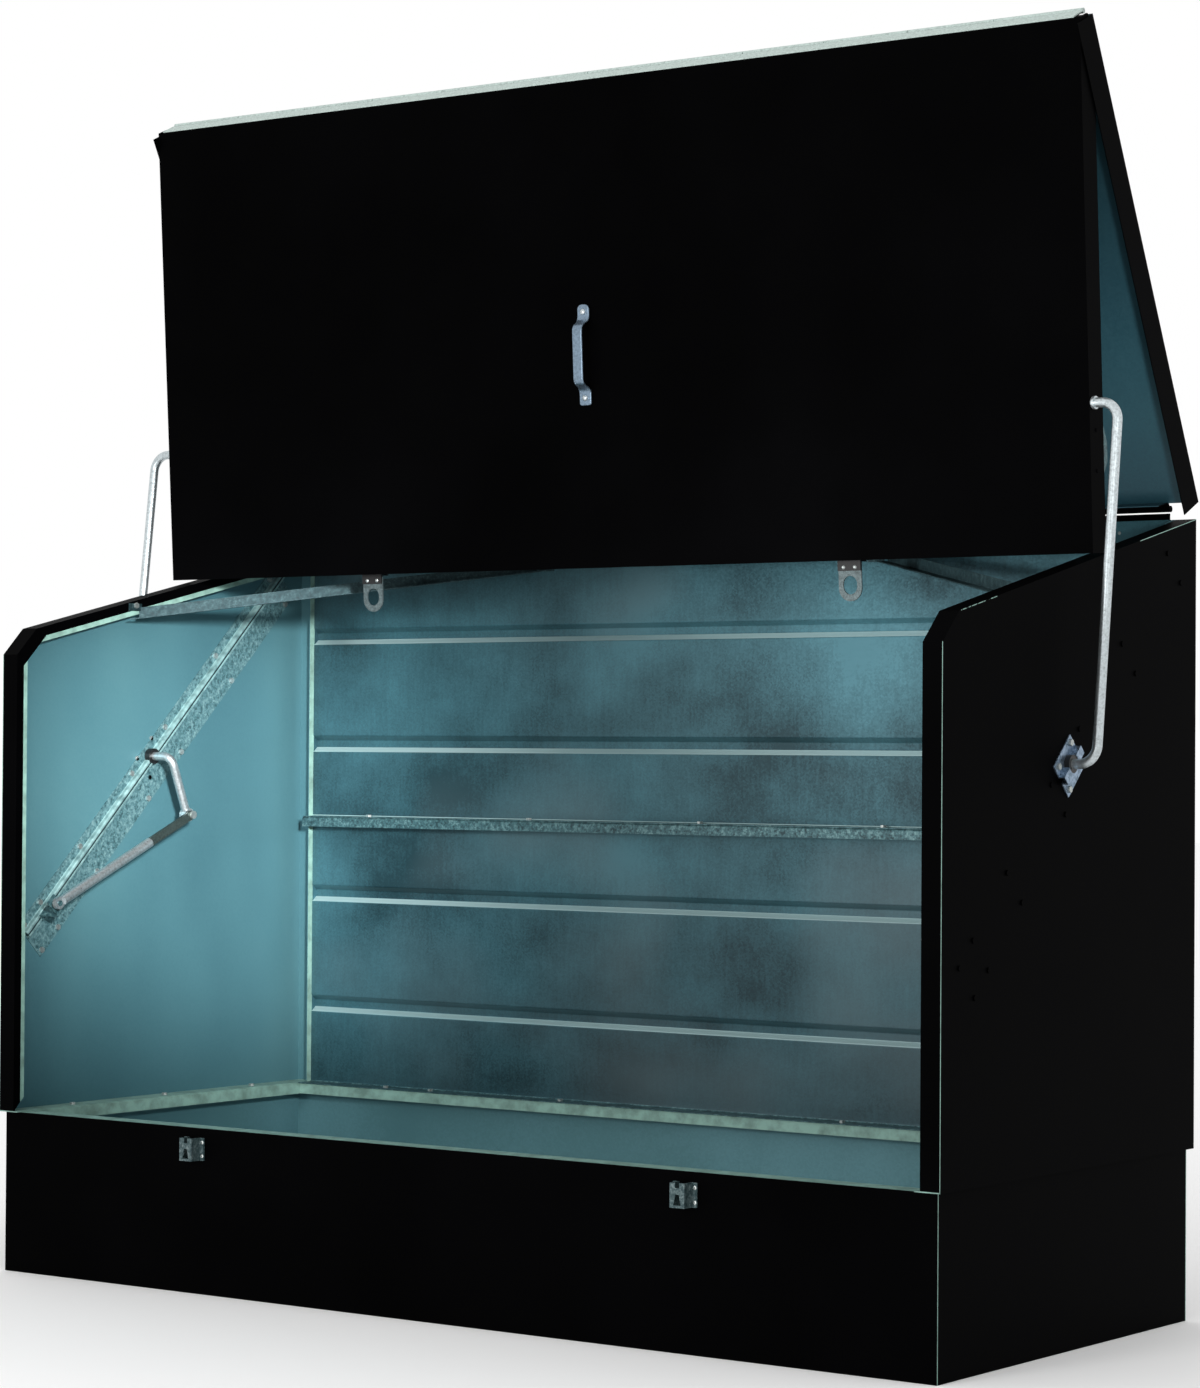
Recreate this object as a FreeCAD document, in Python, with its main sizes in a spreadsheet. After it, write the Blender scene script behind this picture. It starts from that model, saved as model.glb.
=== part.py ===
import FreeCAD, Part
import Sketcher
import math
import os
import re

# A sheet metal bicycle locker, shown with its lid standing open. Millimetres and degrees, +Z up.
# +X is the locker's right as seen from the front, and -Y is its front.
# The origin is on the ground, at the centre of the four anchor holes in the plinth.
# The plinth, the walls and what is fixed to them are drawn with y = 0 at the walls' front face.
# The roof is drawn about the rear hinge's axis, the door about the ridge hinge's axis,
# and the arms and struts about their own pivots.

# Every size that can be set by itself.
SIZES = {
    # Walls and plinth
    "wall_width": 1960.0,
    "wall_depth": 817.0,
    "back_height": 1331.0,
    "plinth_height": 285.0,
    "roof_slope": 13.06,
    "front_chamfer": 48.0,
    "sheet_gauge": 1.5,
    "plinth_inset": 9.0,
    "plinth_flange": 40.0,
    "plinth_lip": 20.0,
    "anchor_radius": 6.5,
    "anchor_from_end": 71.0,
    "anchor_from_face": 25.0,
    "side_screw_end": 163.4,
    "back_screw_pitch": 310.0,
    "back_screw_end": 730.0,
    "wall_flange": 35.0,
    "wall_lip": 26.0,
    "corner_flange": 45.0,
    # Back panels
    "back_recess": 12.0,
    "back_foot": 38.0,
    "rib_height": 28.0,
    "rib_depth": 10.0,
    "rib_one_up": 155.0,
    "rib_two_down": 150.0,
    "rib_three_up": 143.0,
    "rib_four_down": 133.0,
    "seam_height": 806.0,
    "seam_flange": 30.0,
    "seam_lip": 19.0,
    "seam_bolt_pitch": 390.0,
    "hinge_band": 39.0,
    # Rear hinge and roof
    "hinge_back": 3.1,
    "hinge_rise": 18.7,
    "rear_knuckle": 5.4,
    "hinge_leaf": 2.0,
    "hinge_pin": 2.5,
    "hinge_play": 0.06,
    "knuckle_gap": 1.0,
    "knuckle_count": 12.0,
    "knuckle_room": 2.6,
    "rear_leaf_width": 28.0,
    "rear_leaf_edge": 6.0,
    "rear_hinge_gap": 3.0,
    "open_angle": 76.77,
    "roof_side_gap": 6.5,
    "roof_flange": 55.0,
    "roof_rear_flange": 35.0,
    "roof_front_flange": 24.0,
    "roof_setback": 13.0,
    # Ridge hinge and door
    "ridge_run": 35.4,
    "ridge_rise": 15.0,
    "ridge_knuckle": 4.5,
    "ridge_setback": 6.5,
    "ridge_leaf_width": 26.0,
    "ridge_hinge_gap": 6.0,
    "ridge_strip_edge": 0.5,
    "door_stand_off": 51.0,
    "door_side_gap": 4.1,
    "door_flange": 44.0,
    "door_lean": 3.444,
    "door_gap": 5.0,
    "door_cut_down": 18.0,
    "door_cut_front": 14.0,
    "door_cut_back": 9.0,
    "door_cut_drop": 6.5,
    "door_foot_gap": 7.0,
    "stiffener_width": 70.0,
    "stiffener_depth": 18.0,
    "stiffener_start": 150.0,
    "stiffener_short": 30.0,
    # Handle
    "handle_length": 175.0,
    "handle_width": 25.0,
    "handle_gauge": 4.0,
    "handle_reach": 24.0,
    "handle_foot": 26.0,
    "handle_leg": 14.0,
    "handle_drop": 475.0,
    # Hasps and the staples that they close over
    "hasp_place": 515.0,
    "hasp_depth": 22.0,
    "hasp_width": 45.0,
    "hasp_gauge": 2.5,
    "hasp_hang": 68.0,
    "hasp_eye_width": 27.0,
    "hasp_eye_height": 31.0,
    "hasp_eye_up": 27.0,
    "hasp_tab": 17.0,
    "hasp_flange": 20.0,
    "hasp_rivet_back": 12.0,
    "hasp_rivet_edge": 6.0,
    "staple_width": 28.0,
    "staple_height": 39.0,
    "staple_reach": 24.0,
    "staple_foot": 8.5,
    "staple_notch": 8.0,
    "staple_notch_depth": 8.0,
    "staple_eye": 14.0,
    "staple_eye_up": 4.0,
    "staple_rivet_edge": 8.0,
    # Lifting arms, their pivots and cranks
    "pivot_back": 381.124,
    "arm_pin_depth": 12.0,
    "arm_pin_drop": 606.9,
    "arm_rod": 16.0,
    "arm_stand_off": 51.0,
    "arm_bend": 30.0,
    "arm_tip_gap": 0.5,
    "arm_tip_head": 21.0,
    "arm_tip_thick": 5.0,
    "arm_pin": 5.0,
    "arm_pin_play": 0.06,
    "arm_pin_head": 2.5,
    "plate_edge": 3.0,
    "plate_above": 31.9,
    "plate_width": 55.0,
    "plate_height": 160.0,
    "crank_length": 118.0,
    "crank_turn": 151.4,
    "crank_inset": 58.0,
    "crank_bend": 20.0,
    "crank_eye": 24.0,
    "bush_radius": 14.5,
    "bush_barrel": 11.5,
    "bush_play": 0.08,
    "bush_inside": 14.0,
    "bush_outside": 11.0,
    "part_clearance": 0.2,
    # Channel that carries the pivot, and the bracket outside, both laid out from the pivot
    "channel_back_gap": 71.2,
    "channel_top_gap": 49.7,
    "channel_past_anchor": 54.2,
    "channel_gauge": 2.0,
    "channel_height": 12.0,
    "channel_below": 61.2,
    "crown_below": 10.2,
    "crown_above": 3.8,
    "channel_above": 20.8,
    "channel_edge": 8.0,
    "channel_bolt_first": 10.0,
    "channel_bolt_second": 67.0,
    "channel_bolt_lower": 249.8,
    "channel_bolt_before": 58.8,
    "channel_bolt_after": 66.2,
    "channel_bolt_upper": 263.2,
    "channel_bolt_last": 30.0,
    "bracket_length": 72.0,
    "bracket_below": 38.2,
    "bracket_above": 29.8,
    "bracket_edge": 9.0,
    # Spring struts
    "anchor_reach": 404.58,
    "anchor_rise": 25.76,
    "anchor_plate": 3.0,
    "anchor_plate_past": 12.0,
    "anchor_clearance": 1.0,
    "stud_past": 6.0,
    "anchor_plate_length": 22.0,
    "sleeve_radius": 9.0,
    "sleeve_bore": 7.5,
    "sleeve_end": 260.0,
    "sleeve_start": 8.0,
    "sleeve_cap": 5.0,
    "sleeve_floor": 6.0,
    "strut_rod_radius": 4.0,
    "piston_start": 30.0,
    "piston_length": 8.0,
    "link_width": 16.0,
    "link_gauge": 6.0,
    "link_gap": 2.0,
    "link_overlap": 8.0,
    "strut_eye": 11.0,
    "strut_eye_width": 8.0,
    "strut_pin": 5.0,
    "strut_pin_play": 0.08,
    "knuckle_clearance": 0.5,
    "crank_bolt_head": 7.5,
    "crank_bolt_thick": 4.0,
    # Corner braces
    "brace_wall_y": 304.0,
    "brace_wall_drop": 24.0,
    "brace_back_x": 374.0,
    "brace_back_drop": 46.0,
    "brace_leg": 21.0,
    "brace_gauge": 2.0,
    "brace_tab": 34.0,
    "brace_tab_height": 14.0,
    "brace_tab_drop": 10.0,
    "brace_bolt_drop": 9.0,
    # Fasteners
    "bolt_radius": 3.0,
    "bolt_head": 5.6,
    "bolt_head_thick": 4.0,
    "bolt_tail_thick": 2.0,
    "rivet_radius": 1.6,
    "rivet_head": 3.4,
    "rivet_head_thick": 1.3,
    "hole_play": 0.2,
}


def turned(vector, degrees):
    """A (y, z) pair turned about X, from +Y towards +Z."""
    c = math.cos(math.radians(degrees))
    s = math.sin(math.radians(degrees))
    return (vector[0] * c - vector[1] * s, vector[0] * s + vector[1] * c)


def lay_out(size):
    """Where the hinges, pivots and struts come to lie, from the sizes above."""
    place = {}
    tan_slope = math.tan(math.radians(size["roof_slope"]))
    sin_slope = math.sin(math.radians(size["roof_slope"]))
    cos_slope = math.cos(math.radians(size["roof_slope"]))
    place["shoulder_z"] = size["back_height"] - (size["wall_depth"] - size["front_chamfer"]) * tan_slope
    place["front_z"] = place["shoulder_z"] - size["front_chamfer"]
    place["hinge_y"] = size["wall_depth"] + size["hinge_back"]
    place["hinge_z"] = size["back_height"] + size["hinge_rise"]
    closed_y = size["ridge_run"] - size["door_stand_off"]
    knuckle = size["rear_knuckle"]
    reach = (place["hinge_y"] - closed_y + knuckle * sin_slope) / cos_slope
    closed_z = place["hinge_z"] - reach * sin_slope - knuckle * cos_slope
    place["roof_length"] = reach
    place["door_height"] = closed_z - size["ridge_rise"] - size["plinth_height"] - size["door_gap"]

    # The lid opens about the rear hinge, and the door leans by a few degrees as it rises.
    place["roof_tilt"] = size["roof_slope"] - size["open_angle"]
    ridge = turned((-reach, -knuckle), place["roof_tilt"])
    place["ridge_y"] = place["hinge_y"] + ridge[0]
    place["ridge_z"] = place["hinge_z"] + ridge[1]
    pin = (size["arm_pin_depth"] - size["ridge_run"], -size["ridge_rise"] - size["arm_pin_drop"])
    pin_open = turned(pin, size["door_lean"])
    open_y = place["ridge_y"] + pin_open[0]
    open_z = place["ridge_z"] + pin_open[1]
    shut_y = closed_y + pin[0]
    shut_z = closed_z + pin[1]

    # The arm's pivot is as far from the pin when the lid is open as when it is shut.
    squares = open_y ** 2 + open_z ** 2 - shut_y ** 2 - shut_z ** 2
    pivot_y = size["pivot_back"]
    pivot_z = (squares / 2 - pivot_y * (open_y - shut_y)) / (open_z - shut_z)
    place["pivot_height"] = pivot_z
    place["arm_length"] = math.hypot(open_y - pivot_y, open_z - pivot_z)
    arm_open = math.degrees(math.atan2(open_z - pivot_z, open_y - pivot_y))
    arm_shut = math.degrees(math.atan2(shut_z - pivot_z, shut_y - pivot_y)) % 360
    place["arm_tilt"] = arm_open - 90
    place["arm_travel"] = arm_shut - arm_open

    # The channel runs through the pivot towards the wall's top back corner, clear of it by two gaps.
    rise = size["back_height"] - size["channel_top_gap"] - pivot_z
    run = size["wall_depth"] - size["channel_back_gap"] - pivot_y
    angle = math.degrees(math.atan2(rise, run))
    along, across = turned((pivot_y, pivot_z), -angle)
    place["channel_angle"] = angle
    place["pivot_along"] = along
    place["pivot_across"] = across
    place["channel_end"] = along + math.hypot(run, rise)
    place["channel_low"] = across - size["channel_below"]
    place["crown_low"] = across - size["crown_below"]
    place["crown_high"] = across + size["crown_above"]
    place["channel_high"] = across + size["channel_above"]
    place["bracket_low"] = across - size["bracket_below"]
    place["bracket_high"] = across + size["bracket_above"]
    place["anchor_along"] = along - size["anchor_reach"]
    place["anchor_across"] = across + size["anchor_rise"]
    place["channel_start"] = place["anchor_along"] - size["channel_past_anchor"]
    place["anchor_y"], place["anchor_z"] = turned((place["anchor_along"], place["anchor_across"]), angle)

    # The strut runs from its anchor to the crank's eye, and is longest when the lid is shut.
    crank = turned((size["crank_length"], 0), arm_open - size["crank_turn"])
    crank_shut = turned((size["crank_length"], 0), arm_shut - size["crank_turn"])
    from_anchor = (pivot_y + crank[0] - place["anchor_y"], pivot_z + crank[1] - place["anchor_z"])
    from_shut = (pivot_y + crank_shut[0] - place["anchor_y"], pivot_z + crank_shut[1] - place["anchor_z"])
    place["strut_length"] = math.hypot(*from_anchor)
    place["strut_travel"] = math.hypot(*from_shut) - place["strut_length"]
    strut_angle = math.degrees(math.atan2(from_anchor[1], from_anchor[0]))
    place["strut_tilt"] = strut_angle - 90
    place["strut_swing"] = math.degrees(math.atan2(from_shut[1], from_shut[0])) - strut_angle
    return place


PLACES = lay_out(SIZES)

doc = FreeCAD.newDocument("bicycle_locker")


def fill_sheet(name, values):
    """A spreadsheet with one row for each value, the alias beside its number."""
    sheet = doc.addObject("Spreadsheet::Sheet", name)
    for row, (alias, number) in enumerate(values.items(), start=1):
        sheet.set(f"A{row}", alias)
        sheet.set(f"B{row}", repr(float(number)))
        sheet.setAlias(f"B{row}", alias)
    return sheet


fill_sheet("Sizes", SIZES)
fill_sheet("Places", PLACES)
doc.recompute()
calculator = doc.addObject("App::FeaturePython", "Calculator")
calculator.addProperty("App::PropertyFloat", "Result")

WORD = re.compile(r"[a-z][a-z_]*")
AXIS_TURNS = {
    "X": FreeCAD.Rotation(FreeCAD.Vector(0, 1, 0), 90),
    "Y": FreeCAD.Rotation(FreeCAD.Vector(1, 0, 0), -90),
    "Z": FreeCAD.Rotation(),
}
nodes = {}
pockets = []


def formula(text):
    """The text with each named size written as its cell."""
    def as_cell(found):
        word = found.group(0)
        if word in SIZES:
            return "Sizes." + word
        if word in PLACES:
            return "Places." + word
        return word
    return WORD.sub(as_cell, str(text))


def number(text):
    """What a formula comes to."""
    calculator.setExpression("Result", formula(text))
    calculator.recompute()
    return calculator.Result


def size_of(name):
    """One size or place, by name."""
    return SIZES[name] if name in SIZES else PLACES[name]


# Outlines

def rectangle(low_u, high_u, low_v, high_v):
    return [(low_u, low_v), (high_u, low_v), (high_u, high_v), (low_u, high_v)]


def circle(centre_u, centre_v, radius):
    return ("circle", centre_u, centre_v, radius)


def shifts(points, closed):
    """For each corner, how far it moves for each millimetre that the outline is moved to its right."""
    at = [(number(u), number(v)) for u, v in points]
    normals = []
    for index in range(len(at) if closed else len(at) - 1):
        start = at[index]
        end = at[(index + 1) % len(at)]
        run = math.hypot(end[0] - start[0], end[1] - start[1])
        normals.append(((end[1] - start[1]) / run, (start[0] - end[0]) / run))
    moves = []
    for index in range(len(at)):
        before = normals[index - 1] if closed or index > 0 else normals[0]
        after = normals[index] if index < len(normals) else normals[-1]
        scale = 1 / (1 + before[0] * after[0] + before[1] * after[1])
        moves.append(((before[0] + after[0]) * scale, (before[1] + after[1]) * scale))
    return moves


def moved_right(points, distance, closed=False):
    """The same corners, moved square to the outline, to the right of the way that it runs."""
    moved = []
    for (u, v), (du, dv) in zip(points, shifts(points, closed)):
        moved.append((f"{u} + ({distance}) * ({du:.12f})", f"{v} + ({distance}) * ({dv:.12f})"))
    return moved


def folded(points, gauge):
    """The outline of a folded sheet, whose thickness lies to the right of the given face."""
    return points + moved_right(points, gauge)[::-1]


# Features

def new_body(label):
    return doc.addObject("PartDesign::Body", label)


def add_sketch(body, plane, loops, start):
    """A fully placed sketch on one of the body's own planes, moved along its axis to start."""
    sketch = body.newObject("Sketcher::SketchObject", body.Name + "_outline")
    planes = {item.Role: item for item in body.Origin.OriginFeatures}
    sketch.AttachmentSupport = (planes[plane], [""])
    sketch.MapMode = "FlatFace"
    sign = "-" if plane == "XZ_Plane" else ""
    sketch.setExpression("AttachmentOffset.Base.z", formula(f"{sign}({start})"))
    for loop in loops:
        if loop[0] == "circle":
            centre = FreeCAD.Vector(number(loop[1]), number(loop[2]), 0)
            edge = sketch.addGeometry(Part.Circle(centre, FreeCAD.Vector(0, 0, 1), number(loop[3])))
            tie(sketch, Sketcher.Constraint("Radius", edge, number(loop[3])), loop[3])
            tie(sketch, Sketcher.Constraint("DistanceX", -1, 1, edge, 3, centre.x), loop[1])
            tie(sketch, Sketcher.Constraint("DistanceY", -1, 1, edge, 3, centre.y), loop[2])
            continue
        corners = [FreeCAD.Vector(number(u), number(v), 0) for u, v in loop]
        count = len(corners)
        first = sketch.GeometryCount
        for index in range(count):
            sketch.addGeometry(Part.LineSegment(corners[index], corners[(index + 1) % count]))
        for index in range(count):
            following = first + (index + 1) % count
            sketch.addConstraint(Sketcher.Constraint("Coincident", first + index, 2, following, 1))
        for index, (u, v) in enumerate(loop):
            edge = first + index
            tie(sketch, Sketcher.Constraint("DistanceX", -1, 1, edge, 1, corners[index].x), u)
            tie(sketch, Sketcher.Constraint("DistanceY", -1, 1, edge, 1, corners[index].y), v)
    return sketch


def tie(sketch, constraint, text):
    """A constraint whose value is a formula."""
    index = sketch.addConstraint(constraint)
    sketch.setExpression(f"Constraints[{index}]", formula(text))


def pad(body, plane, loops, start, length):
    """Material from start, along the plane's axis, for length."""
    feature = body.newObject("PartDesign::Pad", body.Name + "_pad")
    feature.Profile = add_sketch(body, plane, loops, start)
    feature.setExpression("Length", formula(length))
    feature.Reversed = plane == "XZ_Plane"
    feature.Refine = True
    body.Tip = feature
    return feature


def pocket(body, plane, loops, start, length):
    """A cut from start, along the plane's axis, for length."""
    feature = body.newObject("PartDesign::Pocket", body.Name + "_pocket")
    feature.Profile = add_sketch(body, plane, loops, start)
    feature.setExpression("Length", formula(length))
    feature.Reversed = plane != "XZ_Plane"
    feature.Refine = True
    body.Tip = feature
    pockets.append(feature)
    return feature


def box(low, high):
    """A block between two corners, each given as three formulas."""
    block = doc.addObject("Part::Box", "block")
    for side, axis, start, end in zip(("Length", "Width", "Height"), "xyz", low, high):
        block.setExpression(side, formula(f"({end}) - ({start})"))
        block.setExpression(f"Placement.Base.{axis}", formula(start))
    return block


def rod(axis, start, radius, length):
    """A round bar along an axis, from start."""
    bar = doc.addObject("Part::Cylinder", "bar")
    bar.Placement = FreeCAD.Placement(FreeCAD.Vector(), AXIS_TURNS[axis])
    bar.setExpression("Radius", formula(radius))
    bar.setExpression("Height", formula(length))
    for name, text in zip("xyz", start):
        bar.setExpression(f"Placement.Base.{name}", formula(text))
    return bar


def fuse(shapes):
    joined = doc.addObject("Part::MultiFuse", "joined")
    joined.Shapes = shapes
    joined.Refine = True
    return joined


def cut(base, tools):
    left = doc.addObject("Part::Cut", "left_over")
    left.Base = base
    left.Tool = tools[0] if len(tools) == 1 else fuse(tools)
    left.Refine = True
    return left


def keep(piece, name):
    """Names a finished piece as a node of the locker."""
    piece.Label = name
    nodes[name] = piece
    return piece


def place(piece, y, z, turn="0"):
    """Moves a piece from its own frame to where it stands, turned about X."""
    piece.Placement = FreeCAD.Placement(FreeCAD.Vector(), FreeCAD.Rotation(FreeCAD.Vector(1, 0, 0), 1))
    piece.setExpression("Placement.Base.y", formula(y))
    piece.setExpression("Placement.Base.z", formula(z))
    piece.setExpression("Placement.Rotation.Angle", formula(turn))


def on_walls(piece, name):
    keep(piece, name)
    piece.setExpression("Placement.Base.y", formula("-wall_depth / 2"))
    return piece


def on_roof(piece, name):
    keep(piece, name)
    place(piece, "hinge_y - wall_depth / 2", "hinge_z", "roof_tilt")
    return piece


def on_door(piece, name):
    keep(piece, name)
    place(piece, "ridge_y - wall_depth / 2", "ridge_z", "door_lean")
    return piece


def mirror(name, mirrored_name):
    """The same piece on the locker's other side."""
    twin = doc.addObject("Part::Mirroring", mirrored_name)
    twin.Source = nodes[name]
    twin.Normal = FreeCAD.Vector(1, 0, 0)
    return keep(twin, mirrored_name)


def solid_piece(name, solids):
    """A piece whose solids are worked out here from the sizes."""
    piece = doc.addObject("Part::Feature", name)
    piece.Shape = solids[0] if len(solids) == 1 else Part.makeCompound(solids)
    return piece


# Fasteners

def fastener(point, direction, grip, radius, head, head_thick, hexagonal=True):
    """A bolt or rivet: head on the surface at point, shank through the grip, a tail behind it."""
    way = FreeCAD.Vector(*direction)
    start = FreeCAD.Vector(*[number(value) for value in point])
    through = number(grip)
    tail = size_of("bolt_tail_thick") if hexagonal else head_thick
    shank_end = start - way * (through + tail / 2)
    shank = Part.makeCylinder(radius, through + head_thick / 2 + tail / 2, shank_end, way)
    end = Part.makeCylinder(head * 0.8, tail, start - way * (through + tail), way)
    if hexagonal:
        turn = FreeCAD.Rotation(FreeCAD.Vector(0, 0, 1), way)
        corners = []
        for index in range(7):
            angle = math.radians(60 * index)
            corner = FreeCAD.Vector(head * math.cos(angle), head * math.sin(angle), 0)
            corners.append(start + turn.multVec(corner))
        top = Part.Face(Part.makePolygon(corners)).extrude(way * head_thick)
    else:
        top = Part.makeCone(head, head * 0.55, head_thick, start, way)
    return shank.fuse([top, end]).removeSplitter()


def bolt_solids(points, direction, grip):
    solids = []
    for point in points:
        solids.append(fastener(point, direction, grip, size_of("bolt_radius"),
                               size_of("bolt_head"), size_of("bolt_head_thick")))
    return solids


def bolts(name, points, direction, grip):
    return solid_piece(name, bolt_solids(points, direction, grip))


def both_sides(piece):
    """Adds the same fasteners on the locker's other side to the group."""
    twin = piece.Shape.mirror(FreeCAD.Vector(), FreeCAD.Vector(1, 0, 0))
    piece.Shape = Part.makeCompound(piece.Shape.Solids + twin.Solids)
    return piece


def rivet_solids(points, direction, grip):
    solids = []
    for point in points:
        solids.append(fastener(point, direction, grip, size_of("rivet_radius"),
                               size_of("rivet_head"), size_of("rivet_head_thick"), False))
    return solids


def rivets(name, points, direction, grip):
    return solid_piece(name, rivet_solids(points, direction, grip))


def holes(places, radius):
    return [circle(u, v, f"{radius} + hole_play") for u, v in places]


# Plinth: four folded panels that stand on the ground

PLINTH_END = "(wall_width / 2 - plinth_inset)"
BACK_SCREW_X = ["-back_screw_end", "-2 * back_screw_pitch", "-back_screw_pitch",
                "back_screw_pitch", "2 * back_screw_pitch", "back_screw_end"]
SIDE_SCREW_Y = ["side_screw_end", "wall_depth / 2", "wall_depth - side_screw_end"]


def plinth_outline(face, inward):
    """A plinth panel's folded section, whose foot and top lips both turn back along its face."""
    deep = f"{face} {inward} plinth_flange"
    corners = [(deep, "plinth_lip"), (deep, "0"), (face, "0"), (face, "plinth_height"),
               (deep, "plinth_height"), (deep, "plinth_height - plinth_lip")]
    if inward == "+":
        return folded(corners, "sheet_gauge")
    return folded(corners[::-1], "sheet_gauge")


def long_plinth(name, face, inward):
    panel = new_body(name)
    flange_end = f"({PLINTH_END} - sheet_gauge - part_clearance)"
    pad(panel, "YZ_Plane", [plinth_outline(face, inward)], f"-{flange_end}", f"2 * {flange_end}")
    low = face if inward == "+" else f"{face} - sheet_gauge"
    high = f"{face} + sheet_gauge" if inward == "+" else face
    web = rectangle(low, high, "0", "plinth_height")
    pad(panel, "YZ_Plane", [web], f"-{PLINTH_END}", f"2 * {PLINTH_END}")
    anchor_y = f"{face} {inward} anchor_from_face"
    anchors = []
    for side in ("-", ""):
        anchor_x = f"{side}({PLINTH_END} - anchor_from_end)"
        anchors.append(circle(anchor_x, anchor_y, "anchor_radius"))
    pocket(panel, "XY_Plane", anchors, "-sheet_gauge", "3 * sheet_gauge")
    return panel


def build_plinth():
    front = long_plinth("plinth_front", "plinth_inset", "+")
    pocket(front, "XZ_Plane", holes(staple_rivet_places(), "rivet_radius"), "0", "2 * plinth_inset")
    on_walls(front, "plinth_front")
    back = long_plinth("plinth_back", "(wall_depth - plinth_inset)", "-")
    screws = [(x, back_screw_y()) for x in BACK_SCREW_X]
    pocket(back, "XY_Plane", holes(screws, "bolt_radius"), "plinth_height - 2 * sheet_gauge",
           "4 * sheet_gauge")
    on_walls(back, "plinth_back")

    side = new_body("plinth_left")
    face = f"-{PLINTH_END}"
    clear = "(plinth_inset + plinth_flange + part_clearance)"
    pad(side, "XZ_Plane", [plinth_outline(face, "+")], clear, f"wall_depth - 2 * {clear}")
    web = rectangle(face, f"{face} + sheet_gauge", "0", "plinth_height")
    end = "(plinth_inset + sheet_gauge)"
    pad(side, "XZ_Plane", [web], end, f"wall_depth - 2 * {end}")
    screws = [(side_screw_x(), y) for y in SIDE_SCREW_Y]
    pocket(side, "XY_Plane", holes(screws, "bolt_radius"), "plinth_height - 2 * sheet_gauge",
           "4 * sheet_gauge")
    on_walls(side, "plinth_left")
    mirror("plinth_left", "plinth_right")


def side_screw_x():
    return "-(wall_width / 2 - corner_flange / 2)"


def back_screw_y():
    return "wall_depth - back_recess - back_foot / 2"


# Side walls: trays with a chamfered, sloping top

def wall_corners():
    """The side wall's outline, front edge first, from the plinth up and round to the back."""
    return [("0", "plinth_height"), ("0", "front_z"), ("front_chamfer", "shoulder_z"),
            ("wall_depth", "back_height"), ("wall_depth", "plinth_height")]


def wall_band(width):
    """The strip along the wall's front, chamfer and slope, as wide as given."""
    inner = moved_right(wall_corners(), width, closed=True)
    return wall_corners()[:4] + inner[:4][::-1]


CHANNEL_BOLTS = ["channel_start + channel_bolt_first", "channel_start + channel_bolt_second",
                 "pivot_along - channel_bolt_lower", "pivot_along - channel_bolt_before",
                 "pivot_along + channel_bolt_after", "pivot_along + channel_bolt_upper",
                 "channel_end - channel_bolt_last"]


def channel_bolt_places():
    """Where the channel's bolts lie, as (across, along)."""
    high = [("(crown_high + channel_high) / 2", along) for along in CHANNEL_BOLTS]
    low = [("channel_low + channel_edge", along) for along in CHANNEL_BOLTS]
    return high + low


def bracket_bolt_places():
    """Where the outer bracket's bolts lie, as (across, along)."""
    places = []
    for end in ("-", "+"):
        along = f"pivot_along {end} (bracket_length / 2 - bracket_edge)"
        places.append(("bracket_high - bracket_edge", along))
        places.append(("bracket_low + bracket_edge", along))
    return places


def on_wall_plane(across_and_along):
    """A place on the channel, as the wall's own y and z."""
    across, along = across_and_along
    y = f"({along}) * cos(channel_angle) - ({across}) * sin(channel_angle)"
    z = f"({along}) * sin(channel_angle) + ({across}) * cos(channel_angle)"
    return y, z


def build_side_walls():
    wall = new_body("left_wall")
    outside = "-wall_width / 2"
    pad(wall, "YZ_Plane", [wall_corners()], outside, "sheet_gauge")
    pad(wall, "YZ_Plane", [wall_band("sheet_gauge")], outside, "wall_flange")
    pad(wall, "YZ_Plane", [wall_band("wall_lip")], f"{outside} + wall_flange - sheet_gauge", "sheet_gauge")
    foot = rectangle("0", "wall_depth", "plinth_height", "plinth_height + sheet_gauge")
    pad(wall, "YZ_Plane", [foot], outside, "corner_flange")
    corner = [("wall_depth - sheet_gauge", "plinth_height"), ("wall_depth", "plinth_height"),
              ("wall_depth", "back_height"),
              ("wall_depth - sheet_gauge", "back_height - sheet_gauge * tan(roof_slope)")]
    pad(wall, "YZ_Plane", [corner], outside, "corner_flange")
    lip = [("wall_depth - wall_lip", "plinth_height"), ("wall_depth", "plinth_height"),
           ("wall_depth", "back_height"),
           ("wall_depth - wall_lip", "back_height - wall_lip * tan(roof_slope)")]
    pad(wall, "YZ_Plane", [lip], f"{outside} + corner_flange - sheet_gauge", "sheet_gauge")
    pivot = [circle("pivot_back", "pivot_height", "bush_barrel + part_clearance")]
    places = [on_wall_plane(item) for item in channel_bolt_places() + bracket_bolt_places()]
    pocket(wall, "YZ_Plane", pivot + holes(places, "bolt_radius"), f"{outside} - sheet_gauge",
           "3 * sheet_gauge")
    screws = [(side_screw_x(), y) for y in SIDE_SCREW_Y]
    pocket(wall, "XY_Plane", holes(screws, "bolt_radius"), "plinth_height - sheet_gauge", "3 * sheet_gauge")
    brace = [brace_wall_bolt()]
    pocket(wall, "YZ_Plane", holes(brace, "bolt_radius"),
           f"{outside} + wall_flange - 3 * sheet_gauge", "4 * sheet_gauge")
    on_walls(wall, "left_wall")
    mirror("left_wall", "right_wall")


# Back wall: two ribbed panels, joined on folded flanges

def inner_back():
    return "(wall_depth - back_recess - sheet_gauge)"


def rib(centre):
    """The corners of one pressed rib on the panel's inner face, going up."""
    low = f"{centre} - rib_height / 2"
    high = f"{centre} + rib_height / 2"
    deep = f"{inner_back()} + rib_depth"
    return [(inner_back(), low), (deep, low), (deep, high), (inner_back(), high)]


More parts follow.
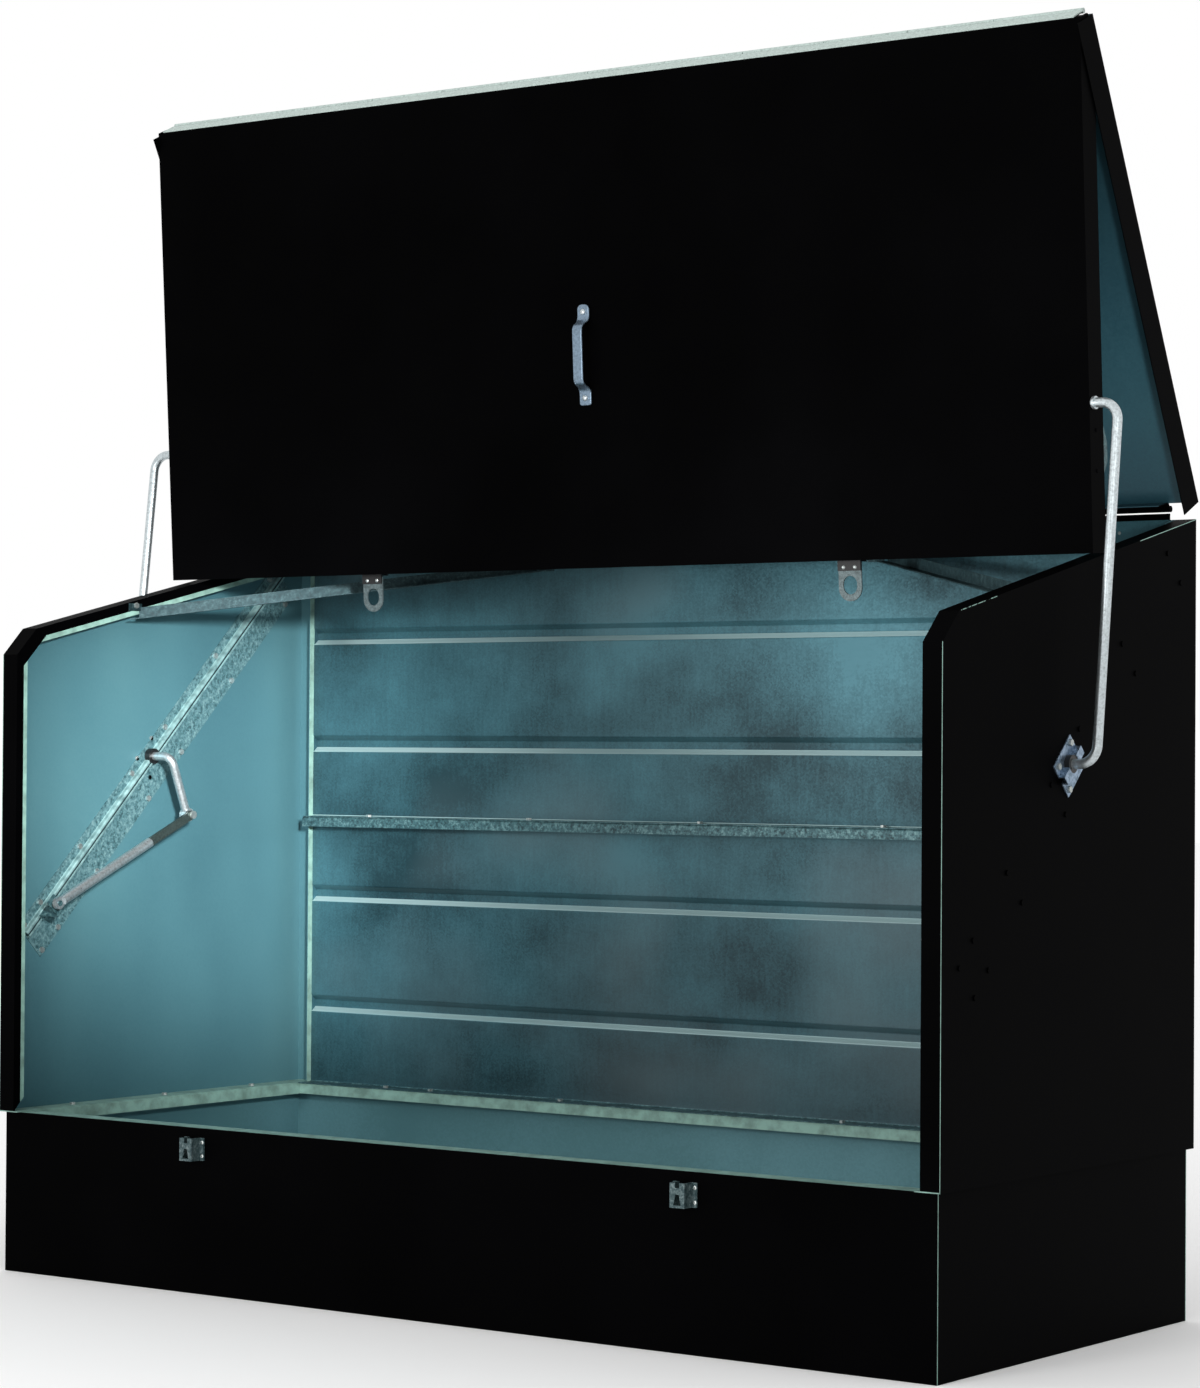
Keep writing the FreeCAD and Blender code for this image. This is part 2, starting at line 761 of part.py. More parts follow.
def build_back_wall():
    edge = "(wall_width / 2 - corner_flange)"
    inner = inner_back()
    seam_front = f"{inner} - seam_flange"

    lower = new_body("back_panel_lower")
    face = [(f"{inner} - back_foot", "plinth_height + sheet_gauge"), (inner, "plinth_height + sheet_gauge")]
    face += rib("plinth_height + rib_one_up") + rib("seam_height - rib_two_down")
    face += [(inner, "seam_height - sheet_gauge"), (seam_front, "seam_height - sheet_gauge"),
             (seam_front, "seam_height - seam_lip")]
    pad(lower, "YZ_Plane", [folded(face, "sheet_gauge")], f"-{edge}", f"2 * {edge}")
    for low, length in ((f"-{edge}", "sheet_gauge"), (f"{edge} - sheet_gauge", "sheet_gauge")):
        side = rectangle(f"{inner} + sheet_gauge / 2", f"{inner} + sheet_gauge + rib_depth",
                         "plinth_height + sheet_gauge / 2", "seam_height - sheet_gauge / 2")
        pad(lower, "YZ_Plane", [side], low, length)
    screws = [(x, back_screw_y()) for x in BACK_SCREW_X]
    pocket(lower, "XY_Plane", holes(screws, "bolt_radius"), "plinth_height - sheet_gauge", "3 * sheet_gauge")
    seam = seam_bolt_places()
    pocket(lower, "XY_Plane", holes(seam, "bolt_radius"), "seam_height - 2 * sheet_gauge", "3 * sheet_gauge")
    on_walls(lower, "back_panel_lower")

    upper = new_body("back_panel_upper")
    band_y = "(hinge_y - rear_knuckle - sheet_gauge)"
    band_z = "(back_height - hinge_band)"
    face = [(seam_front, "seam_height + sheet_gauge"), (inner, "seam_height + sheet_gauge")]
    face += rib("seam_height + rib_three_up") + rib(f"{band_z} - rib_four_down")
    face += [(inner, band_z), (band_y, band_z), (band_y, "back_height")]
    pad(upper, "YZ_Plane", [folded(face, "sheet_gauge")], f"-{edge}", f"2 * {edge}")
    for low, length in ((f"-{edge}", "sheet_gauge"), (f"{edge} - sheet_gauge", "sheet_gauge")):
        side = rectangle(f"{inner} + sheet_gauge / 2", f"{inner} + sheet_gauge + rib_depth",
                         "seam_height + sheet_gauge / 2", band_z)
        pad(upper, "YZ_Plane", [side], low, length)
    pocket(upper, "XY_Plane", holes(seam, "bolt_radius"), "seam_height - sheet_gauge", "3 * sheet_gauge")
    pocket(upper, "XZ_Plane", holes(rear_rivet_places(), "rivet_radius"), band_y + " - sheet_gauge",
           "3 * sheet_gauge")
    brace = [brace_back_bolt("-"), brace_back_bolt("")]
    pocket(upper, "XZ_Plane", holes(brace, "bolt_radius"), f"{inner} - sheet_gauge", "3 * sheet_gauge")
    on_walls(upper, "back_panel_upper")


SEAM_BOLT_X = ["-2 * seam_bolt_pitch", "-seam_bolt_pitch", "0", "seam_bolt_pitch", "2 * seam_bolt_pitch"]


def seam_bolt_places():
    return [(x, f"{inner_back()} - seam_flange / 2") for x in SEAM_BOLT_X]


# Hinges: two leaves with alternate knuckles round one long pin

def knuckle_span(index, half_width):
    """Where one knuckle starts, and how long it is."""
    pitch = f"(2 * {half_width} / floor(knuckle_count))"
    start = f"-{half_width} + {pitch} * {index} + knuckle_gap / 2"
    return start, f"{pitch} - knuckle_gap"


def hinge_leaf(name, half_width, knuckle, leaf_low, leaf_high, first, rivet_loops, hole_plane):
    """One leaf, drawn about the pin, with every other knuckle.

    leaf_low and leaf_high are (y, z) corners of the flat leaf, which reaches to the pin's axis.
    """
    leaf = new_body(name)
    pad(leaf, "YZ_Plane", [rectangle(leaf_low[0], leaf_high[0], leaf_low[1], leaf_high[1])],
        f"-{half_width}", f"2 * {half_width}")
    count = int(size_of("knuckle_count"))
    for index in range(count):
        start, length = knuckle_span(index, half_width)
        if index % 2 == first:
            pad(leaf, "YZ_Plane", [circle("0", "0", knuckle)], start, length)
        else:
            room = f"({knuckle} + knuckle_room)"
            pocket(leaf, "YZ_Plane", [rectangle(f"-{room}", room, f"-{room}", room)],
                   f"{start} - knuckle_gap", f"{length} + 2 * knuckle_gap")
    pocket(leaf, "YZ_Plane", [circle("0", "0", "hinge_pin + hinge_play")], f"-{half_width} - 1",
           f"2 * {half_width} + 2")
    if rivet_loops:
        pocket(leaf, hole_plane, rivet_loops, f"-3 * {knuckle}", f"6 * {knuckle}")
    return leaf


REAR_HALF = "(wall_width / 2 - corner_flange - rear_hinge_gap)"
RIVET_COLUMNS = 10


def columns(half_width):
    """Evenly spaced places across the locker's width."""
    step = f"(2 * {half_width} / {RIVET_COLUMNS})"
    return [f"-{half_width} + {step} * {index + 0.5}" for index in range(RIVET_COLUMNS)]


def rear_rivet_places():
    return [(x, "back_height - hinge_band / 2") for x in columns(REAR_HALF)]


def build_rear_hinge():
    knuckle = "rear_knuckle"
    drop = "(hinge_z - back_height + hinge_band - rear_leaf_edge)"
    in_hinge = [(x, "back_height - hinge_band / 2 - hinge_z") for x in columns(REAR_HALF)]
    fixed = hinge_leaf("rear_hinge_fixed_leaf", REAR_HALF, knuckle,
                       (f"-{knuckle}", f"-{drop}"), (f"-{knuckle} + hinge_leaf", "0"), 0,
                       holes(in_hinge, "rivet_radius"), "XZ_Plane")
    keep(fixed, "rear_hinge_fixed_leaf")
    place(fixed, "hinge_y - wall_depth / 2", "hinge_z")
    moving = hinge_leaf("rear_hinge_roof_leaf", REAR_HALF, knuckle,
                        ("-rear_leaf_width - roof_setback", f"-{knuckle}"),
                        ("0", f"-{knuckle} + hinge_leaf"), 1,
                        holes(roof_rear_rivets(), "rivet_radius"), "XY_Plane")
    on_roof(moving, "rear_hinge_roof_leaf")
    pin = rod("X", (f"-{REAR_HALF}", "0", "0"), "hinge_pin", f"2 * {REAR_HALF}")
    keep(pin, "rear_hinge_pin")
    pin.setExpression("Placement.Base.y", formula("hinge_y - wall_depth / 2"))
    pin.setExpression("Placement.Base.z", formula("hinge_z"))


def roof_rear_rivets():
    return [(x, "-roof_setback - rear_leaf_width / 2") for x in columns(REAR_HALF)]


# Roof: a shallow tray, drawn about the rear hinge with its skin parallel to Y

ROOF_HALF = "(wall_width / 2 + roof_side_gap + sheet_gauge)"
DOOR_HALF = "(wall_width / 2 + door_side_gap + sheet_gauge)"
RIDGE_HALF = "(wall_width / 2 - ridge_hinge_gap)"
ROOF_TOP = "(-rear_knuckle)"
ROOF_FRONT = "(-roof_length + ridge_setback)"


def ridge_roof_rivets():
    return [(x, f"{ROOF_FRONT} + ridge_leaf_width / 2") for x in columns(RIDGE_HALF)]


def build_roof():
    roof = new_body("roof_panel")
    skin = rectangle(ROOF_FRONT, "-roof_setback", f"{ROOF_TOP} - sheet_gauge", ROOF_TOP)
    pad(roof, "YZ_Plane", [skin], f"-{ROOF_HALF}", f"2 * {ROOF_HALF}")
    side = rectangle(ROOF_FRONT, "-roof_setback", f"{ROOF_TOP} - roof_flange", ROOF_TOP)
    pad(roof, "YZ_Plane", [side], f"-{ROOF_HALF}", "sheet_gauge")
    pad(roof, "YZ_Plane", [side], f"{ROOF_HALF} - sheet_gauge", "sheet_gauge")
    front = rectangle(ROOF_FRONT, f"{ROOF_FRONT} + sheet_gauge", f"{ROOF_TOP} - roof_front_flange", ROOF_TOP)
    front_half = f"({DOOR_HALF} - 3 * sheet_gauge)"
    pad(roof, "YZ_Plane", [front], f"-{front_half}", f"2 * {front_half}")
    rear_foot = ("-roof_setback - roof_rear_flange * sin(roof_slope)",
                 f"{ROOF_TOP} - roof_rear_flange * cos(roof_slope)")
    rear = folded([("-roof_setback", f"{ROOF_TOP} - sheet_gauge / 2"), rear_foot], "sheet_gauge")
    pad(roof, "YZ_Plane", [rear], f"-{REAR_HALF}", f"2 * {REAR_HALF}")
    rows = roof_rear_rivets() + ridge_roof_rivets()
    pocket(roof, "XY_Plane", holes(rows, "rivet_radius"), f"{ROOF_TOP} - 2 * sheet_gauge", "4 * sheet_gauge")
    on_roof(roof, "roof_panel")

    stiffener = new_body("roof_stiffener")
    base = f"({ROOF_TOP} - sheet_gauge)"
    half = "stiffener_width / 2"
    flat = "stiffener_width / 5"
    hat = [(f"-{half}", base), (f"-{half} + {flat}", base),
           (f"-{half} + {flat}", f"{base} - stiffener_depth"),
           (f"{half} - {flat}", f"{base} - stiffener_depth"), (f"{half} - {flat}", base), (half, base)]
    pad(stiffener, "XZ_Plane", [folded(hat, "sheet_gauge")], "-roof_length + stiffener_start",
        "roof_length - stiffener_start - 3 * roof_setback")
    on_roof(stiffener, "roof_stiffener")

    top = f"{ROOF_TOP} + hinge_leaf"
    grip = "hinge_leaf + sheet_gauge"
    points = [(x, y, top) for x, y in roof_rear_rivets()]
    on_roof(rivets("rear_hinge_roof_rivets", points, (0, 0, 1), grip), "rear_hinge_roof_rivets")
    points = [(x, y, top) for x, y in ridge_roof_rivets()]
    on_roof(rivets("ridge_hinge_roof_rivets", points, (0, 0, 1), grip), "ridge_hinge_roof_rivets")


# Ridge: the hinge between the roof and the door, and the pale strip that caps the door

RIDGE_ANGLE = "atan(ridge_rise / ridge_run)"
RIDGE_WIDTH = "sqrt(ridge_run ^ 2 + ridge_rise ^ 2)"


def ridge_strip_rivets():
    return [(x, f"-{RIDGE_WIDTH} / 2") for x in columns(RIDGE_HALF)]


def build_ridge():
    leaf = hinge_leaf("ridge_hinge_roof_leaf", RIDGE_HALF, "ridge_knuckle",
                      ("0", "0"), ("ridge_setback + ridge_leaf_width", "hinge_leaf"), 0,
                      holes([(x, "ridge_setback + ridge_leaf_width / 2") for x in columns(RIDGE_HALF)],
                            "rivet_radius"), "XY_Plane")
    keep(leaf, "ridge_hinge_roof_leaf")
    place(leaf, "ridge_y - wall_depth / 2", "ridge_z", "roof_tilt")
    strip = hinge_leaf("ridge_strip", RIDGE_HALF, "ridge_knuckle",
                       (f"-{RIDGE_WIDTH} + ridge_strip_edge", "0"), ("0", "hinge_leaf"), 1,
                       holes(ridge_strip_rivets(), "rivet_radius"), "XY_Plane")
    keep(strip, "ridge_strip")
    place(strip, "ridge_y - wall_depth / 2", "ridge_z", f"door_lean + {RIDGE_ANGLE} / 1deg")
    pin = rod("X", (f"-{RIDGE_HALF}", "ridge_y - wall_depth / 2", "ridge_z"), "hinge_pin",
              f"2 * {RIDGE_HALF}")
    keep(pin, "ridge_hinge_pin")
    points = [(x, y, "hinge_leaf") for x, y in ridge_strip_rivets()]
    fixings = rivets("ridge_strip_rivets", points, (0, 0, 1), "hinge_leaf + sheet_gauge")
    keep(fixings, "ridge_strip_rivets")
    place(fixings, "ridge_y - wall_depth / 2", "ridge_z", f"door_lean + {RIDGE_ANGLE} / 1deg")


# Door: a tray drawn about the ridge hinge, hanging straight down

DOOR_FACE = "(-ridge_run)"
DOOR_TOP = "(-ridge_rise)"
DOOR_FOOT = "(-ridge_rise - door_height)"
HASP_CENTRES = ("-hasp_place", "hasp_place")


def handle_screws():
    """The handle's two screws, as heights in the door's frame."""
    middle = f"({DOOR_TOP} - handle_drop)"
    offset = "(handle_length / 2 - handle_foot / 2)"
    return [f"{middle} + {offset}", f"{middle} - {offset}"]


def hasp_rivet_places():
    places = []
    for centre in HASP_CENTRES:
        for side in ("-", "+"):
            places.append((f"{centre} {side} hasp_width / 4", f"{DOOR_FACE} + hasp_depth + hasp_rivet_back"))
    return places


def arm_pin_place():
    """The arm's pin in the door's frame, as (y, z)."""
    return f"{DOOR_FACE} + arm_pin_depth", f"{DOOR_TOP} - arm_pin_drop"


def on_pivot_plate(shares):
    """Places on the gusset inside the door's side flange, as shares of its width and height."""
    top = f"{DOOR_TOP} - arm_pin_drop + plate_above"
    return [(f"{DOOR_FACE} + plate_edge + {across} * plate_width", f"{top} - {down} * plate_height")
            for across, down in shares]


def pivot_plate_outline():
    return on_pivot_plate([(0, 0), (0.42, 0.09), (0.65, 0.31), (1, 0.59), (1, 0.78), (0.6, 1), (0, 1)])


def plate_rivet_places():
    return on_pivot_plate([(0.31, 0.47), (0.31, 0.875)])


def build_door():
    door = new_body("door_panel")
    face = rectangle(DOOR_FACE, f"{DOOR_FACE} + sheet_gauge", DOOR_FOOT, DOOR_TOP)
    pad(door, "YZ_Plane", [face], f"-{DOOR_HALF}", f"2 * {DOOR_HALF}")
    deep = f"{DOOR_FACE} + door_flange"
    # The side flanges stop short of the roof, which folds down to them when the lid is open.
    side = [(DOOR_FACE, DOOR_FOOT), (deep, DOOR_FOOT), (deep, f"{DOOR_TOP} - door_cut_down"),
            ("-door_cut_back", "-door_cut_drop"),
            ("-door_cut_front", f"-door_cut_front * tan({RIDGE_ANGLE}) - sheet_gauge / 2"),
            (DOOR_FACE, DOOR_TOP)]
    pad(door, "YZ_Plane", [side], f"-{DOOR_HALF}", "sheet_gauge")
    pad(door, "YZ_Plane", [side], f"{DOOR_HALF} - sheet_gauge", "sheet_gauge")
    foot = rectangle(DOOR_FACE, deep, DOOR_FOOT, f"{DOOR_FOOT} + sheet_gauge")
    # The foot's flange is short enough to pass between the side walls' lips.
    foot_half = "(wall_width / 2 - wall_flange - door_foot_gap)"
    pad(door, "YZ_Plane", [foot], f"-{foot_half}", f"2 * {foot_half}")
    back = (f"-ridge_setback * cos({RIDGE_ANGLE})", f"-ridge_setback * sin({RIDGE_ANGLE})")
    cap = folded([(DOOR_FACE, DOOR_TOP), back], "sheet_gauge")
    pad(door, "YZ_Plane", [cap], f"-{RIDGE_HALF}", f"2 * {RIDGE_HALF}")
    screws = [("0", z) for z in handle_screws()]
    pocket(door, "XZ_Plane", holes(screws, "bolt_radius"), f"{DOOR_FACE} - sheet_gauge", "3 * sheet_gauge")
    pocket(door, "XY_Plane", holes(hasp_rivet_places(), "rivet_radius"), f"{DOOR_FOOT} - sheet_gauge",
           "3 * sheet_gauge")
    pin_hole = [circle(*arm_pin_place(), "arm_pin + arm_pin_play")]
    side_holes = holes(plate_rivet_places(), "rivet_radius") + pin_hole
    for start in (f"-{DOOR_HALF} - sheet_gauge", f"{DOOR_HALF} - 2 * sheet_gauge"):
        pocket(door, "YZ_Plane", side_holes, start, "3 * sheet_gauge")
    # Holes of the ridge strip's rivets, square to the sloping cap.
    drill = pocket(door, "XY_Plane", holes(ridge_strip_rivets(), "rivet_radius"), "-4 * sheet_gauge",
                   "6 * sheet_gauge")
    sloping = drill.Profile[0]
    sloping.AttachmentOffset = FreeCAD.Placement(FreeCAD.Vector(),
                                                 FreeCAD.Rotation(FreeCAD.Vector(1, 0, 0), 1))
    sloping.setExpression("AttachmentOffset.Rotation.Angle", formula(f"{RIDGE_ANGLE} / 1deg"))
    sloping.setExpression("AttachmentOffset.Base.y", formula(f"4 * sheet_gauge * sin({RIDGE_ANGLE})"))
    sloping.setExpression("AttachmentOffset.Base.z", formula(f"-4 * sheet_gauge * cos({RIDGE_ANGLE})"))
    on_door(door, "door_panel")

    plate = new_body("door_pivot_plate_left")
    inside = f"-{DOOR_HALF} + sheet_gauge"
    pad(plate, "YZ_Plane", [pivot_plate_outline()], inside, "2 * sheet_gauge")
    pocket(plate, "YZ_Plane", side_holes, f"{inside} - sheet_gauge", "5 * sheet_gauge")
    on_door(plate, "door_pivot_plate_left")
    mirror("door_pivot_plate_left", "door_pivot_plate_right")
    points = [(f"-{DOOR_HALF}", y, z) for y, z in plate_rivet_places()]
    fixings = both_sides(rivets("pivot_plate_rivets", points, (-1, 0, 0), "3 * sheet_gauge"))
    on_door(fixings, "pivot_plate_rivets")

    # An upright channel behind the handle takes its screws.
    stiffener = new_body("door_stiffener")
    base = f"({DOOR_FACE} + sheet_gauge)"
    half = "stiffener_width / 2"
    flat = "stiffener_width / 5"
    hat = [(f"-{half}", base), (f"-{half} + {flat}", base),
           (f"-{half} + {flat}", f"{base} + stiffener_depth"),
           (f"{half} - {flat}", f"{base} + stiffener_depth"), (f"{half} - {flat}", base), (half, base)]
    pad(stiffener, "XY_Plane", [folded(hat[::-1], "sheet_gauge")], f"{DOOR_FOOT} + 4 * sheet_gauge",
        "door_height - stiffener_short")
    on_door(stiffener, "door_stiffener")


def build_handle():
    handle = new_body("handle")
    middle = f"({DOOR_TOP} - handle_drop)"
    half = "handle_length / 2"
    reach = f"{DOOR_FACE} - handle_reach + handle_gauge"
    back = [(DOOR_FACE, f"{middle} - {half}"), (DOOR_FACE, f"{middle} - {half} + handle_foot"),
            (reach, f"{middle} - {half} + handle_foot + handle_leg"),
            (reach, f"{middle} + {half} - handle_foot - handle_leg"),
            (DOOR_FACE, f"{middle} + {half} - handle_foot"), (DOOR_FACE, f"{middle} + {half}")]
    pad(handle, "YZ_Plane", [folded(back[::-1], "handle_gauge")], "-handle_width / 2", "handle_width")
    screws = [("0", z) for z in handle_screws()]
    pocket(handle, "XZ_Plane", holes(screws, "bolt_radius"), f"{DOOR_FACE} - 2 * handle_gauge",
           "3 * handle_gauge")
    on_door(handle, "handle")
    points = [("0", f"{DOOR_FACE} - handle_gauge", z) for z in handle_screws()]
    on_door(bolts("handle_bolts", points, (0, -1, 0), "handle_gauge + sheet_gauge"), "handle_bolts")


def hasp_link_rivets(centre):
    """The two rivets that hold the hasp to its bracket, as (x, z)."""
    level = f"{DOOR_FOOT} - hasp_tab + hasp_rivet_edge"
    return [(f"{centre} - hasp_width / 4", level), (f"{centre} + hasp_width / 4", level)]


def build_hasps():
    plane = f"({DOOR_FACE} + hasp_depth)"
    for centre, side in zip(HASP_CENTRES, ("left", "right")):
        bracket = new_body(f"hasp_bracket_{side}")
        fold = [(plane, f"{DOOR_FOOT} - hasp_tab"), (plane, DOOR_FOOT), (f"{plane} + hasp_flange", DOOR_FOOT)]
        pad(bracket, "YZ_Plane", [folded(fold, "hasp_gauge")], f"{centre} - hasp_width / 2", "hasp_width")
        flat = [item for item in hasp_rivet_places() if item[0].startswith(centre + " ")]
        pocket(bracket, "XY_Plane", holes(flat, "rivet_radius"), f"{DOOR_FOOT} - 2 * hasp_gauge",
               "3 * hasp_gauge")
        pocket(bracket, "XZ_Plane", holes(hasp_link_rivets(centre), "rivet_radius"), f"{plane} - hasp_gauge",
               "3 * hasp_gauge")
        on_door(bracket, f"hasp_bracket_{side}")

        front = f"({plane} + hasp_gauge)"
        rear = f"({plane} + 2 * hasp_gauge)"
        radius = "(hasp_width / 2)"
        foot = f"({DOOR_FOOT} - hasp_hang)"
        blade = box((f"{centre} - {radius}", front, f"{foot} + {radius}"),
                    (f"{centre} + {radius}", rear, f"{DOOR_FOOT} - hasp_gauge - part_clearance"))
        end = rod("Y", (centre, front, f"{foot} + {radius}"), radius, "hasp_gauge")
        eye = f"({foot} + hasp_eye_up)"
        stretch = "((hasp_eye_height - hasp_eye_width) / 2)"
        tools = [rod("Y", (centre, f"{front} - 1", f"{eye} + {stretch}"), "hasp_eye_width / 2",
                     "hasp_gauge + 2"),
                 rod("Y", (centre, f"{front} - 1", f"{eye} - {stretch}"), "hasp_eye_width / 2",
                     "hasp_gauge + 2"),
                 box((f"{centre} - hasp_eye_width / 2", f"{front} - 1", f"{eye} - {stretch}"),
                     (f"{centre} + hasp_eye_width / 2", f"{rear} + 1", f"{eye} + {stretch}"))]
        for x, z in hasp_link_rivets(centre):
            tools.append(rod("Y", (x, f"{front} - 1", z), "rivet_radius + hole_play", "hasp_gauge + 2"))
        on_door(cut(fuse([blade, end]), tools), f"hasp_{side}")

    points = []
    for centre in HASP_CENTRES:
        points += [(x, plane, z) for x, z in hasp_link_rivets(centre)]
    solids = rivet_solids(points, (0, -1, 0), "2 * hasp_gauge")
    points = [(x, y, f"{DOOR_FOOT} - hasp_gauge") for x, y in hasp_rivet_places()]
    solids += rivet_solids(points, (0, 0, -1), "hasp_gauge + sheet_gauge")
    on_door(solid_piece("hasp_rivets", solids), "hasp_rivets")


# Staples on the plinth, level with the eyes of the hasps when the door is shut

STAPLE_MIDDLE = "(plinth_height + door_gap - hasp_hang + hasp_eye_up)"


def staple_rivet_places():
    places = []
    for centre in HASP_CENTRES:
        for across in ("-", "+"):
            for up in ("-", "+"):
                x = f"{centre} {across} (staple_width / 2 + staple_foot / 2)"
                places.append((x, f"{STAPLE_MIDDLE} {up} (staple_height / 2 - staple_rivet_edge)"))
    return places


def build_staples():
    low = f"({STAPLE_MIDDLE} - staple_height / 2)"
    high = f"({STAPLE_MIDDLE} + staple_height / 2)"
    for centre, side in zip(HASP_CENTRES, ("left", "right")):
        staple = new_body(f"lock_staple_{side}")
        foot = "plinth_inset"
        nose = "plinth_inset - staple_reach"
        half = "staple_width / 2"
        bend = [(f"{centre} - {half} - staple_foot", foot), (f"{centre} - {half} + hasp_gauge", foot),
                (f"{centre} - {half} + hasp_gauge", f"{nose} + hasp_gauge"),
                (f"{centre} + {half} - hasp_gauge", f"{nose} + hasp_gauge"),
                (f"{centre} + {half} - hasp_gauge", foot), (f"{centre} + {half} + staple_foot", foot)]
        pad(staple, "XY_Plane", [folded(bend, "hasp_gauge")], low, "staple_height")
        notch = rectangle(f"{centre} - staple_notch / 2", f"{centre} + staple_notch / 2",
                          f"{high} - staple_notch_depth", f"{high} + 1")
        eye_low = f"{low} + staple_eye_up"
        eye = [(f"{centre} - staple_eye / 2", eye_low), (f"{centre} + staple_eye / 2", eye_low),
               (f"{centre} + staple_eye / 4", f"{eye_low} + 1.2 * staple_eye"),
               (f"{centre} - staple_eye / 4", f"{eye_low} + 1.2 * staple_eye")]
        pocket(staple, "XZ_Plane", [notch], f"{nose} - 1", "hasp_gauge + 2")
        pocket(staple, "XZ_Plane", [eye], f"{nose} - 1", "hasp_gauge + 2")
        spots = [item for item in staple_rivet_places() if item[0].startswith(centre + " ")]
        pocket(staple, "XZ_Plane", holes(spots, "rivet_radius"), f"{foot} - 2 * hasp_gauge", "3 * hasp_gauge")
        on_walls(staple, f"lock_staple_{side}")
    points = [(x, "plinth_inset - hasp_gauge", z) for x, z in staple_rivet_places()]
    on_walls(rivets("staple_rivets", points, (0, -1, 0), "hasp_gauge + sheet_gauge"), "staple_rivets")


# Channels inside the side walls, brackets outside them, and the pivots that they carry

def lay_along_channel(piece, base_x, flip):
    """Stands a piece drawn in (across, height, along) on the left wall."""
    along = FreeCAD.Vector(0, math.cos(math.radians(size_of("channel_angle"))),
                           math.sin(math.radians(size_of("channel_angle"))))
    across = FreeCAD.Vector(0, -along.z, along.y)
    up = FreeCAD.Vector(-1 if flip else 1, 0, 0)
    turn = FreeCAD.Rotation(across, up, across.cross(up), "ZXY")
    piece.Placement = FreeCAD.Placement(FreeCAD.Vector(), turn)
    piece.setExpression("Placement.Base.x", formula(base_x))
    piece.setExpression("Placement.Base.y", formula("-wall_depth / 2"))


def build_channels():
    channel = new_body("pivot_channel_left")
    crown = "channel_height - channel_gauge"
    face = [("channel_low", "0"), ("crown_low + channel_gauge", "0"),
            ("crown_low + channel_gauge", crown), ("crown_high - channel_gauge", crown),
            ("crown_high - channel_gauge", "0"), ("channel_high", "0")]
    pad(channel, "XY_Plane", [folded(face[::-1], "channel_gauge")], "channel_start",
        "channel_end - channel_start")
    pocket(channel, "XZ_Plane", [circle("pivot_across", "pivot_along", "bush_radius + part_clearance")],
           "-channel_gauge", "2 * channel_height")
    pocket(channel, "XZ_Plane", holes(channel_bolt_places(), "bolt_radius"), "-channel_gauge",
           "3 * channel_gauge")
    pocket(channel, "XZ_Plane", holes(bracket_bolt_places(), "bolt_head"), "-channel_gauge",
           "3 * channel_gauge")
    keep(channel, "pivot_channel_left")
    lay_along_channel(channel, "-wall_width / 2 + sheet_gauge", False)
    mirror("pivot_channel_left", "pivot_channel_right")

    points = [("-wall_width / 2 + sheet_gauge + channel_gauge", *on_wall_plane(item))
              for item in channel_bolt_places()]
    on_walls(both_sides(bolts("channel_bolts", points, (1, 0, 0), "sheet_gauge + channel_gauge")),
             "channel_bolts")

    bracket = new_body("pivot_bracket_left")
    face = [("bracket_low", "0"), ("crown_low + channel_gauge", "0"),
            ("crown_low + channel_gauge", crown), ("crown_high", crown),
            ("crown_high", "0"), ("bracket_high", "0")]
    pad(bracket, "XY_Plane", [folded(face[::-1], "channel_gauge")], "-pivot_along - bracket_length / 2",
        "bracket_length")
    pocket(bracket, "XZ_Plane", [circle("pivot_across", "-pivot_along", "bush_radius + part_clearance")],
           "-channel_gauge", "2 * channel_height")
    turned_places = [(across, f"-({along})") for across, along in bracket_bolt_places()]
    pocket(bracket, "XZ_Plane", holes(turned_places, "bolt_radius"), "-channel_gauge", "3 * channel_gauge")
    keep(bracket, "pivot_bracket_left")
    lay_along_channel(bracket, "-wall_width / 2", True)
    mirror("pivot_bracket_left", "pivot_bracket_right")
    points = [("-wall_width / 2 - channel_gauge", *on_wall_plane(item)) for item in bracket_bolt_places()]
    on_walls(both_sides(bolts("bracket_bolts", points, (-1, 0, 0), "sheet_gauge + channel_gauge")),
             "bracket_bolts")

    inside = rod("X", ("-wall_width / 2 + sheet_gauge", "pivot_back", "pivot_height"), "bush_radius",
                 "bush_inside")
    outside = rod("X", ("-wall_width / 2 - bush_outside", "pivot_back", "pivot_height"), "bush_radius",
                  "bush_outside")
    start = "(-wall_width / 2 - bush_outside)"
    length = "(bush_outside + sheet_gauge + bush_inside)"
    barrel = rod("X", (start, "pivot_back", "pivot_height"), "bush_barrel", length)
    bore = rod("X", (f"{start} - 1", "pivot_back", "pivot_height"), "arm_rod / 2 + bush_play",
               f"{length} + 2")
    on_walls(cut(fuse([inside, outside, barrel]), [bore]), "pivot_bush_left")
    mirror("pivot_bush_left", "pivot_bush_right")


# Lifting arms: one bent rod each, with the crank inside and the pin that lifts the door

